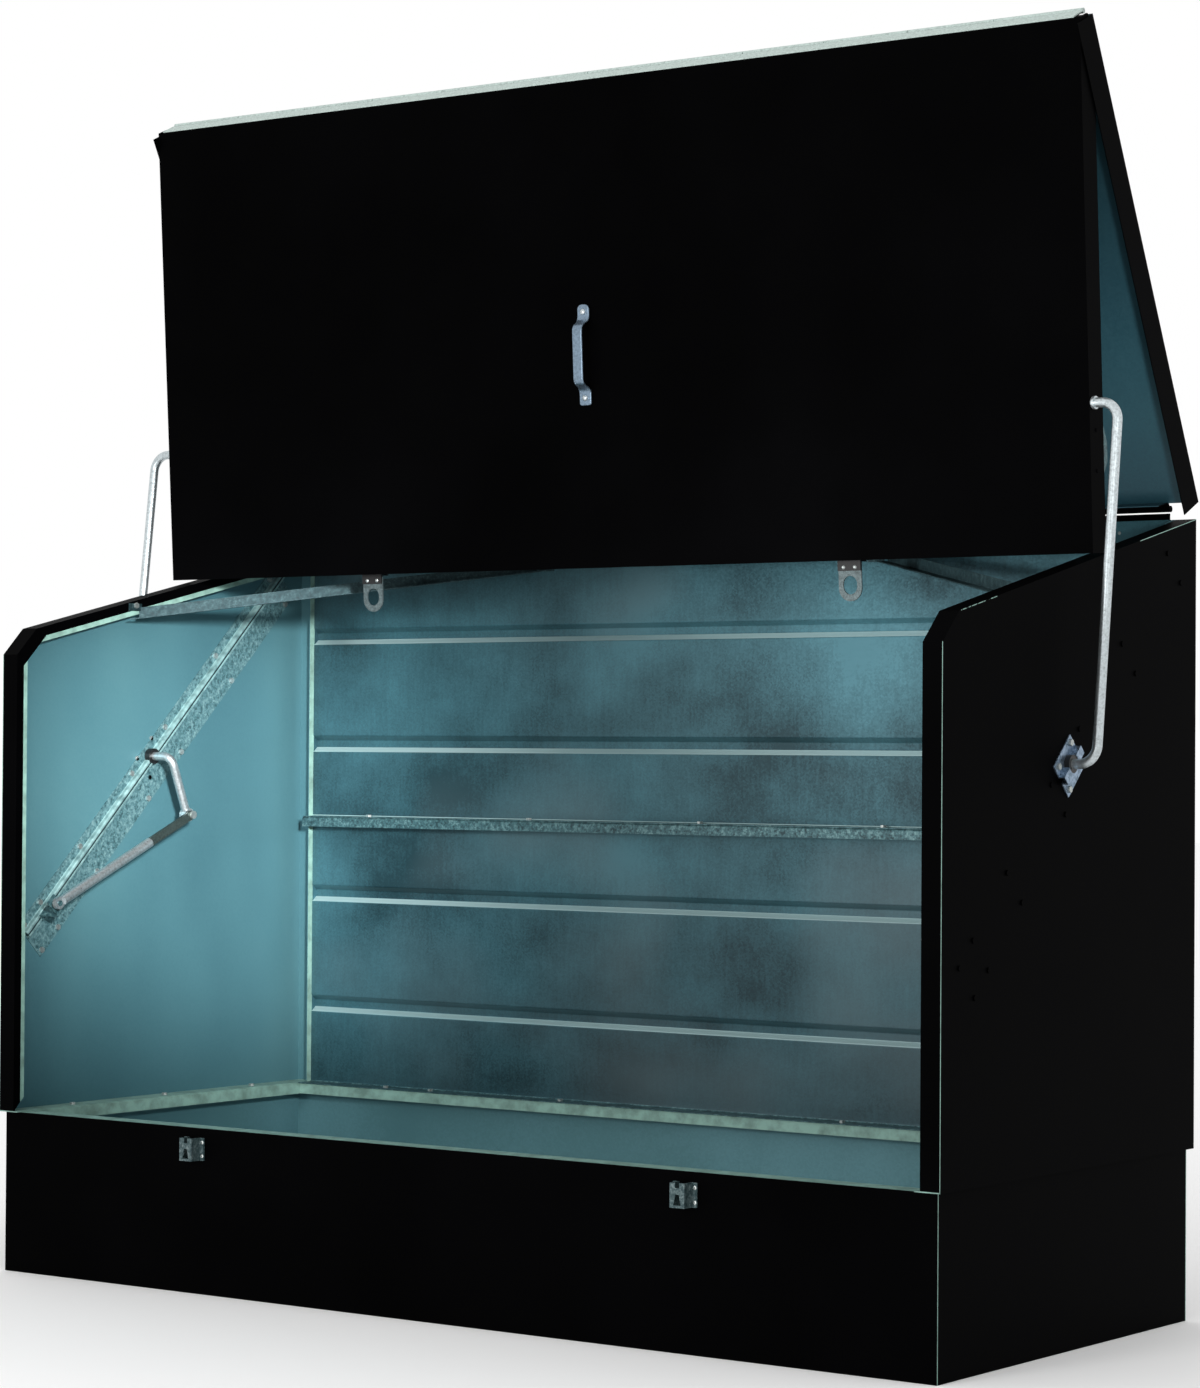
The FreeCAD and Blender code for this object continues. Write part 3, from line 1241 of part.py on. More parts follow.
def bent_rod(corners, bends, radius):
    """A round rod through the corners, bent to the given radius at each one between."""
    edges = []
    here = corners[0]
    for index in range(1, len(corners) - 1):
        corner = corners[index]
        back = (corners[index - 1] - corner).normalize()
        ahead = (corners[index + 1] - corner).normalize()
        half = back.getAngle(ahead) / 2
        reach = bends[index - 1] / math.tan(half)
        start = corner + back * reach
        end = corner + ahead * reach
        inward = (back + ahead).normalize()
        middle = corner + inward * (bends[index - 1] / math.sin(half) - bends[index - 1])
        edges.append(Part.LineSegment(here, start).toShape())
        edges.append(Part.Arc(start, middle, end).toShape())
        here = end
    edges.append(Part.LineSegment(here, corners[-1]).toShape())
    path = Part.Wire(edges)
    way = (corners[1] - corners[0]).normalize()
    ring = Part.Wire(Part.Circle(corners[0], way, radius).toShape())
    return path.makePipeShell([ring], True, False)


def build_arms():
    radius = size_of("arm_rod") / 2
    crank_x = -number("wall_width / 2 - crank_inset")
    arm_x = -number("wall_width / 2 + arm_stand_off")
    tip_x = -number(f"{DOOR_HALF} + arm_tip_gap")
    knuckle = turned((size_of("crank_length"), 0), 90 - size_of("crank_turn"))
    length = size_of("arm_length")
    corners = [FreeCAD.Vector(crank_x, *knuckle), FreeCAD.Vector(crank_x, 0, 0), FreeCAD.Vector(arm_x, 0, 0),
               FreeCAD.Vector(arm_x, 0, length), FreeCAD.Vector(tip_x, 0, length)]
    bends = [size_of("crank_bend"), size_of("arm_bend"), size_of("arm_bend")]
    bar = bent_rod(corners, bends, radius)
    sideways = FreeCAD.Vector(1, 0, 0)
    eye_start = FreeCAD.Vector(crank_x - radius, *knuckle)
    eye = Part.makeCylinder(size_of("crank_eye") / 2, 2 * radius, eye_start, sideways)
    head_start = FreeCAD.Vector(tip_x - size_of("arm_tip_thick"), 0, length)
    head = Part.makeCylinder(size_of("arm_tip_head") / 2, size_of("arm_tip_thick"), head_start, sideways)
    # The pin goes through the door's flange and its gusset, and is peened over inside.
    pin_radius = size_of("arm_pin")
    pin_length = size_of("arm_tip_gap") + 3.5 * size_of("sheet_gauge")
    pin_start = FreeCAD.Vector(tip_x - 1, 0, length)
    pin = Part.makeCylinder(pin_radius, pin_length + 2, pin_start, sideways)
    peened_start = FreeCAD.Vector(tip_x + pin_length, 0, length)
    peened = Part.makeCone(1.6 * pin_radius, 1.2 * pin_radius, size_of("arm_pin_head"), peened_start,
                           sideways)
    arm = solid_piece("lifting_arm_left", [bar.fuse([eye, head, pin, peened])])
    keep(arm, "lifting_arm_left")
    place(arm, "pivot_back - wall_depth / 2", "pivot_height", "arm_tilt")
    mirror("lifting_arm_left", "lifting_arm_right")


# Spring struts: a sleeve on a stud, and a rod whose link ends at the crank's eye

STRUT_X = "(-wall_width / 2 + crank_inset + arm_rod / 2 + knuckle_clearance + link_gauge / 2)"
LINK_LOW = f"({STRUT_X} - link_gauge / 2)"


def build_strut_anchor():
    """A stepped bracket on the channel's crown, with the stud that the sleeve turns on."""
    anchor = new_body("strut_anchor_left")
    base = "channel_height"
    top = f"({STRUT_X} - sleeve_radius - anchor_clearance + wall_width / 2 - sheet_gauge)"
    step = "crown_high - 1"
    face = [("crown_low + 1", base), (step, base), (step, f"{top} - anchor_plate"),
            ("anchor_across + anchor_plate_past", f"{top} - anchor_plate")]
    pad(anchor, "XY_Plane", [folded(face[::-1], "anchor_plate")], "anchor_along - anchor_plate_length / 2",
        "anchor_plate_length")
    stud = [circle("anchor_across", "anchor_along", "strut_pin")]
    pad(anchor, "XZ_Plane", stud, f"{top} - anchor_plate / 2",
        f"{STRUT_X} + stud_past + wall_width / 2 - sheet_gauge - {top} + anchor_plate / 2")
    collar = [circle("anchor_across", "anchor_along", "strut_pin + 2")]
    collar_length = "sleeve_radius + anchor_clearance - strut_eye_width / 2 - knuckle_clearance"
    pad(anchor, "XZ_Plane", collar, f"{top} - anchor_plate / 2", f"{collar_length} + anchor_plate / 2")
    keep(anchor, "strut_anchor_left")
    lay_along_channel(anchor, "-wall_width / 2 + sheet_gauge", False)
    mirror("strut_anchor_left", "strut_anchor_right")


def build_struts():
    tube = rod("Z", (STRUT_X, "0", "sleeve_start"), "sleeve_radius", "sleeve_end - sleeve_start")
    eye_left = f"({STRUT_X} - strut_eye_width / 2)"
    eye_right = f"({STRUT_X} + strut_eye_width / 2)"
    eye = rod("X", (eye_left, "0", "0"), "strut_eye", "strut_eye_width")
    bore_start = "(strut_eye + sleeve_floor)"
    beyond = f"sleeve_end + sleeve_cap - {bore_start}"
    tools = [rod("Z", (STRUT_X, "0", bore_start), "sleeve_bore", f"sleeve_end - sleeve_cap - {bore_start}"),
             rod("Z", (STRUT_X, "0", bore_start), "strut_rod_radius + part_clearance", beyond),
             rod("X", (f"{STRUT_X} - 2 * sleeve_radius", "0", "0"), "strut_pin + strut_pin_play",
                 "4 * sleeve_radius"),
             box((f"{STRUT_X} - 2 * sleeve_radius", "-strut_eye - 1", "-strut_eye"),
                 (eye_left, "strut_eye + 1", "strut_eye")),
             box((eye_right, "-strut_eye - 1", "-strut_eye"),
                 (f"{STRUT_X} + 2 * sleeve_radius", "strut_eye + 1", "strut_eye"))]
    sleeve = keep(cut(fuse([tube, eye]), tools), "strut_sleeve_left")
    place(sleeve, "anchor_y - wall_depth / 2", "anchor_z", "strut_tilt")
    mirror("strut_sleeve_left", "strut_sleeve_right")

    link_start = "(sleeve_end + link_gap)"
    shaft_length = f"{link_start} + link_overlap - piston_start"
    shaft = rod("Z", (STRUT_X, "0", "piston_start"), "strut_rod_radius", shaft_length)
    piston = rod("Z", (STRUT_X, "0", "piston_start"), "sleeve_bore - part_clearance", "piston_length")
    link = box((LINK_LOW, "-link_width / 2", link_start),
               (f"{LINK_LOW} + link_gauge", "link_width / 2", "strut_length"))
    round_end = rod("X", (LINK_LOW, "0", "strut_length"), "link_width / 2", "link_gauge")
    hole = rod("X", (f"{LINK_LOW} - 1", "0", "strut_length"), "strut_pin + part_clearance", "link_gauge + 2")
    pull = keep(cut(fuse([shaft, piston, link, round_end]), [hole]), "strut_rod_left")
    place(pull, "anchor_y - wall_depth / 2", "anchor_z", "strut_tilt")
    mirror("strut_rod_left", "strut_rod_right")

    shank = rod("X", (LINK_LOW, "0", "strut_length"), "strut_pin", "link_gauge")
    head = rod("X", (f"{LINK_LOW} + link_gauge", "0", "strut_length"), "crank_bolt_head", "crank_bolt_thick")
    bolt = keep(fuse([shank, head]), "crank_bolt_left")
    place(bolt, "anchor_y - wall_depth / 2", "anchor_z", "strut_tilt")
    mirror("crank_bolt_left", "crank_bolt_right")

    low = "(piston_start + piston_length)"
    inner = rod("Z", (STRUT_X, "0", "0"), "strut_rod_radius + part_clearance", "strut_length")
    outer = rod("Z", (STRUT_X, "0", low), "sleeve_bore - part_clearance", f"sleeve_end - sleeve_cap - {low}")
    spring = keep(cut(outer, [inner]), "strut_spring_left")
    place(spring, "anchor_y - wall_depth / 2", "anchor_z", "strut_tilt")
    mirror("strut_spring_left", "strut_spring_right")


# Corner braces: angle bars from the side walls' top lips to the back wall

def slope_height(y):
    return f"back_height - (wall_depth - ({y})) * tan(roof_slope)"


def brace_wall_bolt():
    """On the side wall's top lip, as (y, z)."""
    y = "brace_wall_y"
    return y, f"{slope_height(y)} - brace_bolt_drop"


def brace_back_bolt(sign):
    """On the upper back panel, as (x, z)."""
    return f"{sign}(brace_back_x - brace_tab / 3)", "back_height - brace_back_drop"


def build_braces():
    lip_x = -number("wall_width / 2 - wall_flange")
    back_y = number(inner_back())
    start_z = number(f"{slope_height('brace_wall_y')} - brace_wall_drop")
    start = FreeCAD.Vector(lip_x, number("brace_wall_y"), start_z)
    end = FreeCAD.Vector(-number("brace_back_x"), back_y, number("back_height - brace_back_drop"))
    way = (end - start).normalize()
    side = way.cross(FreeCAD.Vector(0, 0, 1)).normalize()
    up = side.cross(way)
    leg = size_of("brace_leg")
    gauge = size_of("brace_gauge")
    overrun = 3 * leg
    base = start - way * overrun - side * (leg / 2) - up * (leg / 2)
    corners = [(0, 0), (leg, 0), (leg, gauge), (gauge, gauge), (gauge, leg), (0, leg), (0, 0)]
    ring = Part.makePolygon([base + side * u + up * v for u, v in corners])
    bar = Part.Face(ring).extrude(way * (start.distanceToPoint(end) + 2 * overrun))
    room = Part.makeBox(2 * abs(lip_x), back_y, 4 * leg + abs(end.z - start.z),
                        FreeCAD.Vector(lip_x, 0, start.z - 2 * leg))
    bar = bar.common(room)
    tab = size_of("brace_tab")
    wall_y, wall_z = [number(text) for text in brace_wall_bolt()]
    lip_corner = FreeCAD.Vector(lip_x, wall_y - tab / 2, wall_z - size_of("brace_tab_drop"))
    lip_tab = Part.makeBox(gauge, tab, size_of("brace_tab_height"), lip_corner)
    back_x, back_z = [number(text) for text in brace_back_bolt("-")]
    back_tab = Part.makeBox(tab, gauge, leg,
                            FreeCAD.Vector(back_x - tab / 2, back_y - gauge, back_z - leg / 2))
    radius = size_of("bolt_radius") + size_of("hole_play")
    head_room = size_of("bolt_head") + 1
    inward = FreeCAD.Vector(1, 0, 0)
    backward = FreeCAD.Vector(0, 1, 0)
    lip_hole = Part.makeCylinder(radius, leg, FreeCAD.Vector(lip_x - leg / 2, wall_y, wall_z), inward)
    back_hole = Part.makeCylinder(radius, leg, FreeCAD.Vector(back_x, back_y - leg / 2, back_z), backward)
    lip_head = Part.makeCylinder(head_room, 2 * leg, FreeCAD.Vector(lip_x + gauge, wall_y, wall_z), inward)
    room_start = FreeCAD.Vector(back_x, back_y - gauge - 2 * leg, back_z)
    room_head = Part.makeCylinder(head_room, 2 * leg, room_start, backward)
    whole = bar.cut([room_head, lip_head]).fuse([lip_tab, back_tab])
    whole = whole.cut([lip_hole, back_hole]).removeSplitter()
    on_walls(solid_piece("corner_brace_left", [whole]), "corner_brace_left")
    mirror("corner_brace_left", "corner_brace_right")

    grip = f"{gauge} + sheet_gauge"
    ends = bolt_solids([(f"{lip_x} + {gauge}", *brace_wall_bolt())], (1, 0, 0), grip)
    ends += bolt_solids([(str(back_x), f"{back_y} - {gauge}", str(back_z))], (0, -1, 0), grip)
    on_walls(both_sides(solid_piece("brace_bolts", ends)), "brace_bolts")


def build_wall_fixings():
    level = "plinth_height + sheet_gauge"
    points = [(x, back_screw_y(), level) for x in BACK_SCREW_X]
    points += [(side_screw_x(), y, level) for y in SIDE_SCREW_Y]
    points += [(f"-({side_screw_x()})", y, level) for y in SIDE_SCREW_Y]
    on_walls(bolts("plinth_bolts", points, (0, 0, 1), "2 * sheet_gauge"), "plinth_bolts")
    points = [(x, y, "seam_height + sheet_gauge") for x, y in seam_bolt_places()]
    on_walls(bolts("seam_bolts", points, (0, 0, 1), "2 * sheet_gauge"), "seam_bolts")
    outer = "hinge_y - rear_knuckle + hinge_leaf"
    points = [(x, outer, z) for x, z in rear_rivet_places()]
    fixings = rivets("rear_hinge_wall_rivets", points, (0, 1, 0), "hinge_leaf + sheet_gauge")
    on_walls(fixings, "rear_hinge_wall_rivets")


build_plinth()
build_side_walls()
build_back_wall()
build_rear_hinge()
build_roof()
build_ridge()
build_door()
build_handle()
build_hasps()
build_staples()
build_channels()
build_arms()
build_strut_anchor()
build_struts()
build_braces()
build_wall_fixings()
doc.recompute()

# Every feature is sound, every cut took something away, and every piece is closed.
faults = [item.Label for item in doc.Objects if "Invalid" in item.State or "Error" in item.State]
for feature in pockets:
    if not feature.Shape.Volume < feature.BaseFeature.Shape.Volume - 1e-3:
        faults.append(feature.Label + " cuts nothing")
for name, piece in nodes.items():
    if piece.Shape.isNull() or not piece.Shape.isValid() or not piece.Shape.Solids:
        faults.append(name + " has no sound shape")
if faults:
    raise SystemExit("faults: " + ", ".join(faults))

os.makedirs("parts", exist_ok=True)
for name, piece in nodes.items():
    piece.Shape.exportStep(os.path.join("parts", name + ".step"))
for name in ("pivot_height", "arm_length", "arm_travel", "strut_length", "strut_travel", "strut_swing",
             "door_height"):
    print(name, round(PLACES[name], 3))
print(len(nodes), "pieces written")
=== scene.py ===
import math
from functools import partial

import bmesh
import bpy
from mathutils import Matrix, Vector


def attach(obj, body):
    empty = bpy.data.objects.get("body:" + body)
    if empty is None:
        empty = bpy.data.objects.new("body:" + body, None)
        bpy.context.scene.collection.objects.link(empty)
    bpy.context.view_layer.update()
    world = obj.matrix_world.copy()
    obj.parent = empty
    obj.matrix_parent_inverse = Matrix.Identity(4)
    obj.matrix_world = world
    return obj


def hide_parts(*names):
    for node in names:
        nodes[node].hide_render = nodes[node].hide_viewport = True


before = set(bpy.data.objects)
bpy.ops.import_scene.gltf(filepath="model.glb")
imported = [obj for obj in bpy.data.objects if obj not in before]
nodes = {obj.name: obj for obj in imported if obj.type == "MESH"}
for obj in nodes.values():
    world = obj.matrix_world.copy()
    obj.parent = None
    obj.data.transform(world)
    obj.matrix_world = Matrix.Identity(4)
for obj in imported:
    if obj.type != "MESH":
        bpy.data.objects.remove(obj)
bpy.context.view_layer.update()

# Colours are linear. The sheet is black outside and galvanised inside.
BLACK = (0.0004, 0.0004, 0.0005, 1.0)
BLACK_WORN = (0.0010, 0.0010, 0.0012, 1.0)
COAT_SHEEN = 0.008
RUBBER = (0.0100, 0.0100, 0.0110, 1.0)
WALL_DARK = (0.036, 0.106, 0.130, 1.0)
WALL = (0.056, 0.150, 0.176, 1.0)
WALL_LIGHT = (0.078, 0.190, 0.212, 1.0)
PLINTH_LIGHT = (0.120, 0.270, 0.310, 1.0)
# Painted shade: the roof's and door's undersides take darker copies of the walls' zinc.
LID_SHADE_DARK = (0.014, 0.056, 0.078, 1.0)
LID_SHADE = (0.030, 0.098, 0.124, 1.0)
BACK_DARK = (0.008, 0.030, 0.038, 1.0)
BACK = (0.050, 0.142, 0.172, 1.0)
# Patches on the back wall that are part stain and part painted reflection.
BACK_STAIN_AND_REFLECTION = (0.076, 0.112, 0.124, 1.0)
# Painted highlight on the back wall's steps that face up.
BACK_PAINTED_HIGHLIGHT = (0.380, 0.540, 0.550, 1.0)
CREAM_DARK = (0.120, 0.205, 0.175, 1.0)
CREAM = (0.215, 0.370, 0.320, 1.0)
ZINC_DARK = (0.010, 0.032, 0.038, 1.0)
ZINC = (0.040, 0.100, 0.112, 1.0)
ZINC_LIGHT = (0.120, 0.215, 0.220, 1.0)
CHANNEL_DARK = (0.024, 0.068, 0.078, 1.0)
CHANNEL = (0.082, 0.178, 0.196, 1.0)
CHANNEL_LIGHT = (0.180, 0.300, 0.310, 1.0)
# Painted highlight for the channel's crown.
CHANNEL_PAINTED_HIGHLIGHT = (0.300, 0.480, 0.480, 1.0)
BRACE_DARK = (0.005, 0.018, 0.022, 1.0)
BRACE = (0.014, 0.038, 0.044, 1.0)
BRACE_LIGHT = (0.045, 0.085, 0.092, 1.0)
STAPLE = (0.050, 0.085, 0.090, 1.0)
STAPLE_LIGHT = (0.160, 0.210, 0.215, 1.0)
HASP_DARK = (0.025, 0.038, 0.040, 1.0)
HASP = (0.055, 0.078, 0.082, 1.0)
HASP_LIGHT = (0.085, 0.115, 0.120, 1.0)
BRACKET_DARK = (0.100, 0.150, 0.200, 1.0)
BRACKET = (0.220, 0.300, 0.400, 1.0)
BRACKET_LIGHT = (0.340, 0.440, 0.560, 1.0)
STEEL = (0.460, 0.500, 0.490, 1.0)
STEEL_BLUE = (0.220, 0.300, 0.385, 1.0)
BRIGHT = (0.560, 0.620, 0.640, 1.0)
RIVET = (0.900, 0.950, 0.930, 1.0)
STRIP = (0.500, 0.600, 0.565, 1.0)
LINK = (0.100, 0.130, 0.120, 1.0)
FLOOR = (0.930, 0.930, 0.930, 1.0)

# Steps of a ramp that is used as a mask.
MASK_OUT = (0.0, 0.0, 0.0, 1.0)
MASK_PART = (0.65, 0.65, 0.65, 1.0)
MASK_IN = (1.0, 1.0, 1.0, 1.0)

# The walls, in metres. The ground is at zero, and the middle of the depth is at zero.
SHEET = 0.0015
WALL_X = 0.980
FRONT_Y = -0.4085
REAR_Y = 0.4085
PLINTH_TOP = 0.285
BACK_TOP = 1.331
SLOPE = math.radians(13.06)
CHAMFER_FOOT = 1.1046

# A lip's inner face is nearer the middle than its plane. Its outer part is black and the rest cream.
LIP_PLANE = 0.9457
LIP_BLACK = 0.017
LIP_WIDTH = 0.026
REAR_LIP = 1.1 * LIP_WIDTH
FOOT_EDGE = 1.2 * SHEET

# Pale lines painted as highlights along the walls' outer edges: the front corner, and two lengths of the
# sloping top edge.
CORNER_REACH = 0.0009
CORNER_LINE = 0.0004
RIM_REACH = 0.0002
RIM_LINE = 0.0012
RIM_FRONT_END = 0.16
RIM_REAR_START = 0.62

# How squarely a face has to look inward, up, to the end or to the back before it counts.
INWARD = 0.7
UPWARD = 0.5
ENDWARD = 0.9
BACKWARD = 0.05

# Places inside each folded sheet: a face that looks away from its place is on the outside.
WALL_INSIDE = (0.962, 0.0, 0.80)
PLINTH_INSIDE = (0.0, 0.0, 0.14)
ROOF_INSIDE = (0.0, 0.20, 1.72)
DOOR_INSIDE = (0.0, 0.055, 1.68)

# The plinth's pale lip, and the ends of its front and back panels, which are pale as a painted highlight.
PLINTH_LIP = 0.0215
PLINTH_END_X = 0.9705
PLINTH_END_Y = 0.3975

# The back wall's mottled seam and foot, and the roof's and door's side flanges.
SEAM_LOW, SEAM_HIGH = 0.783, 0.8105
SEAM_FACE = 0.3935
BACK_FOOT = 0.004
TRAY_SIDE = 0.9835

# The channels, drawn across and along their own run up each side wall.
CHANNEL_TURN = math.radians(44.4947)
CHANNEL_LOW, CROWN_LOW, CROWN_HIGH, CHANNEL_HIGH = 0.33008, 0.38308, 0.39308, 0.41208
CROWN_MIDDLE = (CROWN_LOW + CROWN_HIGH) / 2
CROWN_EDGE = 0.0030
CHANNEL_START, CHANNEL_END = 0.45996, 1.42998
CHANNEL_GAUGE = 0.002
CHANNEL_BEND = 0.0016
CROWN = 0.010
GROOVE = 0.0020
# The width of the painted shade down the middle of the crown.
GROOVE_LINE = 0.0016


# Shader graphs

class Graph:
    """A material whose nodes are added one call at a time."""

    def __init__(self, name):
        self.material = bpy.data.materials.new(name)
        self.material.use_nodes = True
        self.tree = self.material.node_tree
        self.tree.nodes.clear()
        self.output = self.tree.nodes.new("ShaderNodeOutputMaterial")
        self.coordinates = self.tree.nodes.new("ShaderNodeTexCoord")

    def feed(self, socket, value):
        if isinstance(value, bpy.types.NodeSocket):
            self.tree.links.new(value, socket)
        else:
            socket.default_value = value

    def math(self, operation, a, b=0.0, c=0.0):
        node = self.tree.nodes.new("ShaderNodeMath")
        node.operation = operation
        for socket, value in zip(node.inputs, (a, b, c)):
            self.feed(socket, value)
        return node.outputs[0]

    def above(self, value, limit):
        return self.math("GREATER_THAN", value, limit)

    def below(self, value, limit):
        return self.math("LESS_THAN", value, limit)

    def size(self, value):
        return self.math("ABSOLUTE", value)

    def plus(self, base, share, value):
        """The base with a share of the value added."""
        return self.math("MULTIPLY_ADD", value, share, base)

    def both(self, *masks):
        whole = masks[0]
        for mask in masks[1:]:
            whole = self.math("MULTIPLY", whole, mask)
        return whole

    def either(self, *masks):
        whole = masks[0]
        for mask in masks[1:]:
            whole = self.math("MAXIMUM", whole, mask)
        return whole

    def vector(self, operation, a, b):
        node = self.tree.nodes.new("ShaderNodeVectorMath")
        node.operation = operation
        self.feed(node.inputs[0], a)
        self.feed(node.inputs[1], b)
        return node.outputs["Value"] if operation == "DOT_PRODUCT" else node.outputs["Vector"]

    def place(self):
        return self.coordinates.outputs["Object"]

    def axis(self, index):
        node = self.tree.nodes.new("ShaderNodeSeparateXYZ")
        self.feed(node.inputs[0], self.place())
        return node.outputs[index]

    def along(self, direction, origin):
        """How far a point lies from the origin along a direction."""
        return self.vector("DOT_PRODUCT", self.vector("SUBTRACT", self.place(), origin), direction)

    def facing(self, direction):
        return self.vector("DOT_PRODUCT", self.coordinates.outputs["Normal"], direction)

    def outward(self, centre):
        """One on faces that look away from a point inside the piece, zero on the others."""
        arm = self.vector("SUBTRACT", self.place(), centre)
        return self.above(self.vector("DOT_PRODUCT", self.coordinates.outputs["Normal"], arm), 0.0)

    def stretched(self, scale):
        node = self.tree.nodes.new("ShaderNodeMapping")
        self.feed(node.inputs["Vector"], self.place())
        node.inputs["Scale"].default_value = scale
        return node.outputs[0]

    def noise(self, scale, detail=2.0, roughness=0.5, place=None):
        node = self.tree.nodes.new("ShaderNodeTexNoise")
        self.feed(node.inputs["Vector"], place or self.place())
        node.inputs["Scale"].default_value = scale
        node.inputs["Detail"].default_value = detail
        node.inputs["Roughness"].default_value = roughness
        return node.outputs["Fac"]

    def spangle(self, scale):
        """A different grey for each crystal of the zinc."""
        node = self.tree.nodes.new("ShaderNodeTexVoronoi")
        self.feed(node.inputs["Vector"], self.place())
        node.inputs["Scale"].default_value = scale
        split = self.tree.nodes.new("ShaderNodeSeparateXYZ")
        self.feed(split.inputs[0], node.outputs["Color"])
        return split.outputs[0]

    def ramp(self, factor, *stops):
        node = self.tree.nodes.new("ShaderNodeValToRGB")
        self.feed(node.inputs[0], factor)
        ramp = node.color_ramp
        for index, (place, colour) in enumerate(stops):
            stop = ramp.elements[index] if index < 2 else ramp.elements.new(place)
            stop.position = place
            stop.color = colour
        return node.outputs[0]

    def mix(self, factor, a, b):
        node = self.tree.nodes.new("ShaderNodeMix")
        node.data_type = "RGBA"
        self.feed(node.inputs["Factor"], factor)
        self.feed(node.inputs[6], a)
        self.feed(node.inputs[7], b)
        return node.outputs[2]

    def bump(self, height, strength, distance):
        node = self.tree.nodes.new("ShaderNodeBump")
        node.inputs["Strength"].default_value = strength
        node.inputs["Distance"].default_value = distance
        self.feed(node.inputs["Height"], height)
        return node.outputs[0]

    def shader(self, colour, metallic, roughness, normal=None, specular=0.5):
        node = self.tree.nodes.new("ShaderNodeBsdfPrincipled")
        self.feed(node.inputs["Base Color"], colour)
        self.feed(node.inputs["Metallic"], metallic)
        self.feed(node.inputs["Roughness"], roughness)
        node.inputs["Specular IOR Level"].default_value = specular
        if normal:
            self.feed(node.inputs["Normal"], normal)
        return node.outputs[0]

    def blend(self, factor, a, b):
        node = self.tree.nodes.new("ShaderNodeMixShader")
        self.feed(node.inputs[0], factor)
        self.tree.links.new(a, node.inputs[1])
        self.tree.links.new(b, node.inputs[2])
        return node.outputs[0]

    def finish(self, surface):
        self.tree.links.new(surface, self.output.inputs["Surface"])
        return self.material


# Surfaces

def black_coat(graph):
    """Powder coat: black, almost without sheen, with the faint texture of the cured powder."""
    grain = graph.noise(scale=900.0)
    cloud = graph.noise(scale=3.0, detail=3.0)
    colour = graph.ramp(cloud, (0.35, BLACK), (0.75, BLACK_WORN))
    roughness = graph.plus(0.42, 0.18, cloud)
    normal = graph.bump(grain, strength=0.08, distance=0.0004)
    return graph.shader(colour, 0.0, roughness, normal, specular=COAT_SHEEN)


def wall_zinc(graph, dark=WALL_DARK, middle=WALL, light=WALL_LIGHT):
    """Even zinc with soft clouds and a fine crystal grain."""
    cloud = graph.noise(scale=1.6, detail=3.0, place=graph.stretched((1.0, 1.2, 0.7)))
    crystal = graph.spangle(scale=260.0)
    tone = graph.plus(cloud, 0.07, crystal)
    colour = graph.ramp(tone, (0.32, dark), (0.56, middle), (0.80, light))
    roughness = graph.plus(0.42, 0.10, crystal)
    return graph.shader(colour, 0.25, roughness, graph.bump(crystal, strength=0.03, distance=0.0004))


def back_zinc(graph):
    """Darker zinc with drifting patches, part stain and part painted reflection, a fine vertical grain, and a
    painted highlight on the steps that face up.
    """
    cloud = graph.noise(scale=2.3, detail=4.0, roughness=0.55, place=graph.stretched((1.0, 1.0, 1.25)))
    stain_and_reflection = graph.noise(scale=1.7, place=graph.stretched((1.0, 2.0, 1.4)))
    streak = graph.noise(scale=150.0, roughness=0.6, place=graph.stretched((1.0, 1.0, 0.12)))
    crystal = graph.spangle(scale=330.0)
    tone = graph.plus(graph.plus(cloud, 0.10, streak), 0.07, crystal)
    cold = graph.ramp(tone, (0.44, BACK_DARK), (0.76, BACK))
    # Patches that are part stain and part painted reflection.
    colour = graph.mix(graph.ramp(stain_and_reflection, (0.52, MASK_OUT), (0.72, MASK_PART)), cold, BACK_STAIN_AND_REFLECTION)
    # Painted highlight: the steps that face up are brighter.
    upward = graph.facing((0.0, 0.0, 1.0))
    colour = graph.mix(graph.ramp(upward, (0.30, MASK_OUT), (0.55, MASK_IN)), colour, BACK_PAINTED_HIGHLIGHT)
    roughness = graph.plus(0.32, 0.12, crystal)
    return graph.shader(colour, 0.45, roughness, graph.bump(streak, strength=0.03, distance=0.0004))


def mottled(graph, dark=ZINC_DARK, middle=ZINC, light=ZINC_LIGHT, scale=300.0, rough=0.40, metallic=0.35):
    """Hot-dip zinc: salt-and-pepper crystals of a few millimetres."""
    crystal = graph.spangle(scale)
    cloud = graph.noise(scale=0.40 * scale, detail=3.0, roughness=0.65)
    tone = graph.plus(graph.math("MULTIPLY", cloud, 0.90), 0.22, crystal)
    colour = graph.ramp(tone, (0.36, dark), (0.58, middle), (0.80, light))
    roughness = graph.plus(rough, 0.14, crystal)
    return graph.shader(colour, metallic, roughness, graph.bump(crystal, strength=0.05, distance=0.0005))


def cream_coat(graph):
    """The pale primer on the lips that close each folded edge, also used for the painted edge highlights."""
    stain = graph.noise(scale=38.0, detail=4.0, roughness=0.6)
    colour = graph.ramp(stain, (0.30, CREAM_DARK), (0.62, CREAM))
    return graph.shader(colour, 0.0, 0.55, graph.bump(stain, strength=0.10, distance=0.0006))


def plate(graph, colour, rough=0.22, metallic=0.85):
    """Bright plate on rods, hinges and fasteners, with fine drawing marks."""
    marks = graph.noise(scale=240.0, detail=3.0, roughness=0.6)
    shade = tuple(0.60 * part for part in colour[:3]) + (1.0,)
    tone = graph.ramp(marks, (0.25, shade), (0.60, colour))
    roughness = graph.plus(rough, 0.18, marks)
    return graph.shader(tone, metallic, roughness, graph.bump(marks, strength=0.06, distance=0.0003))


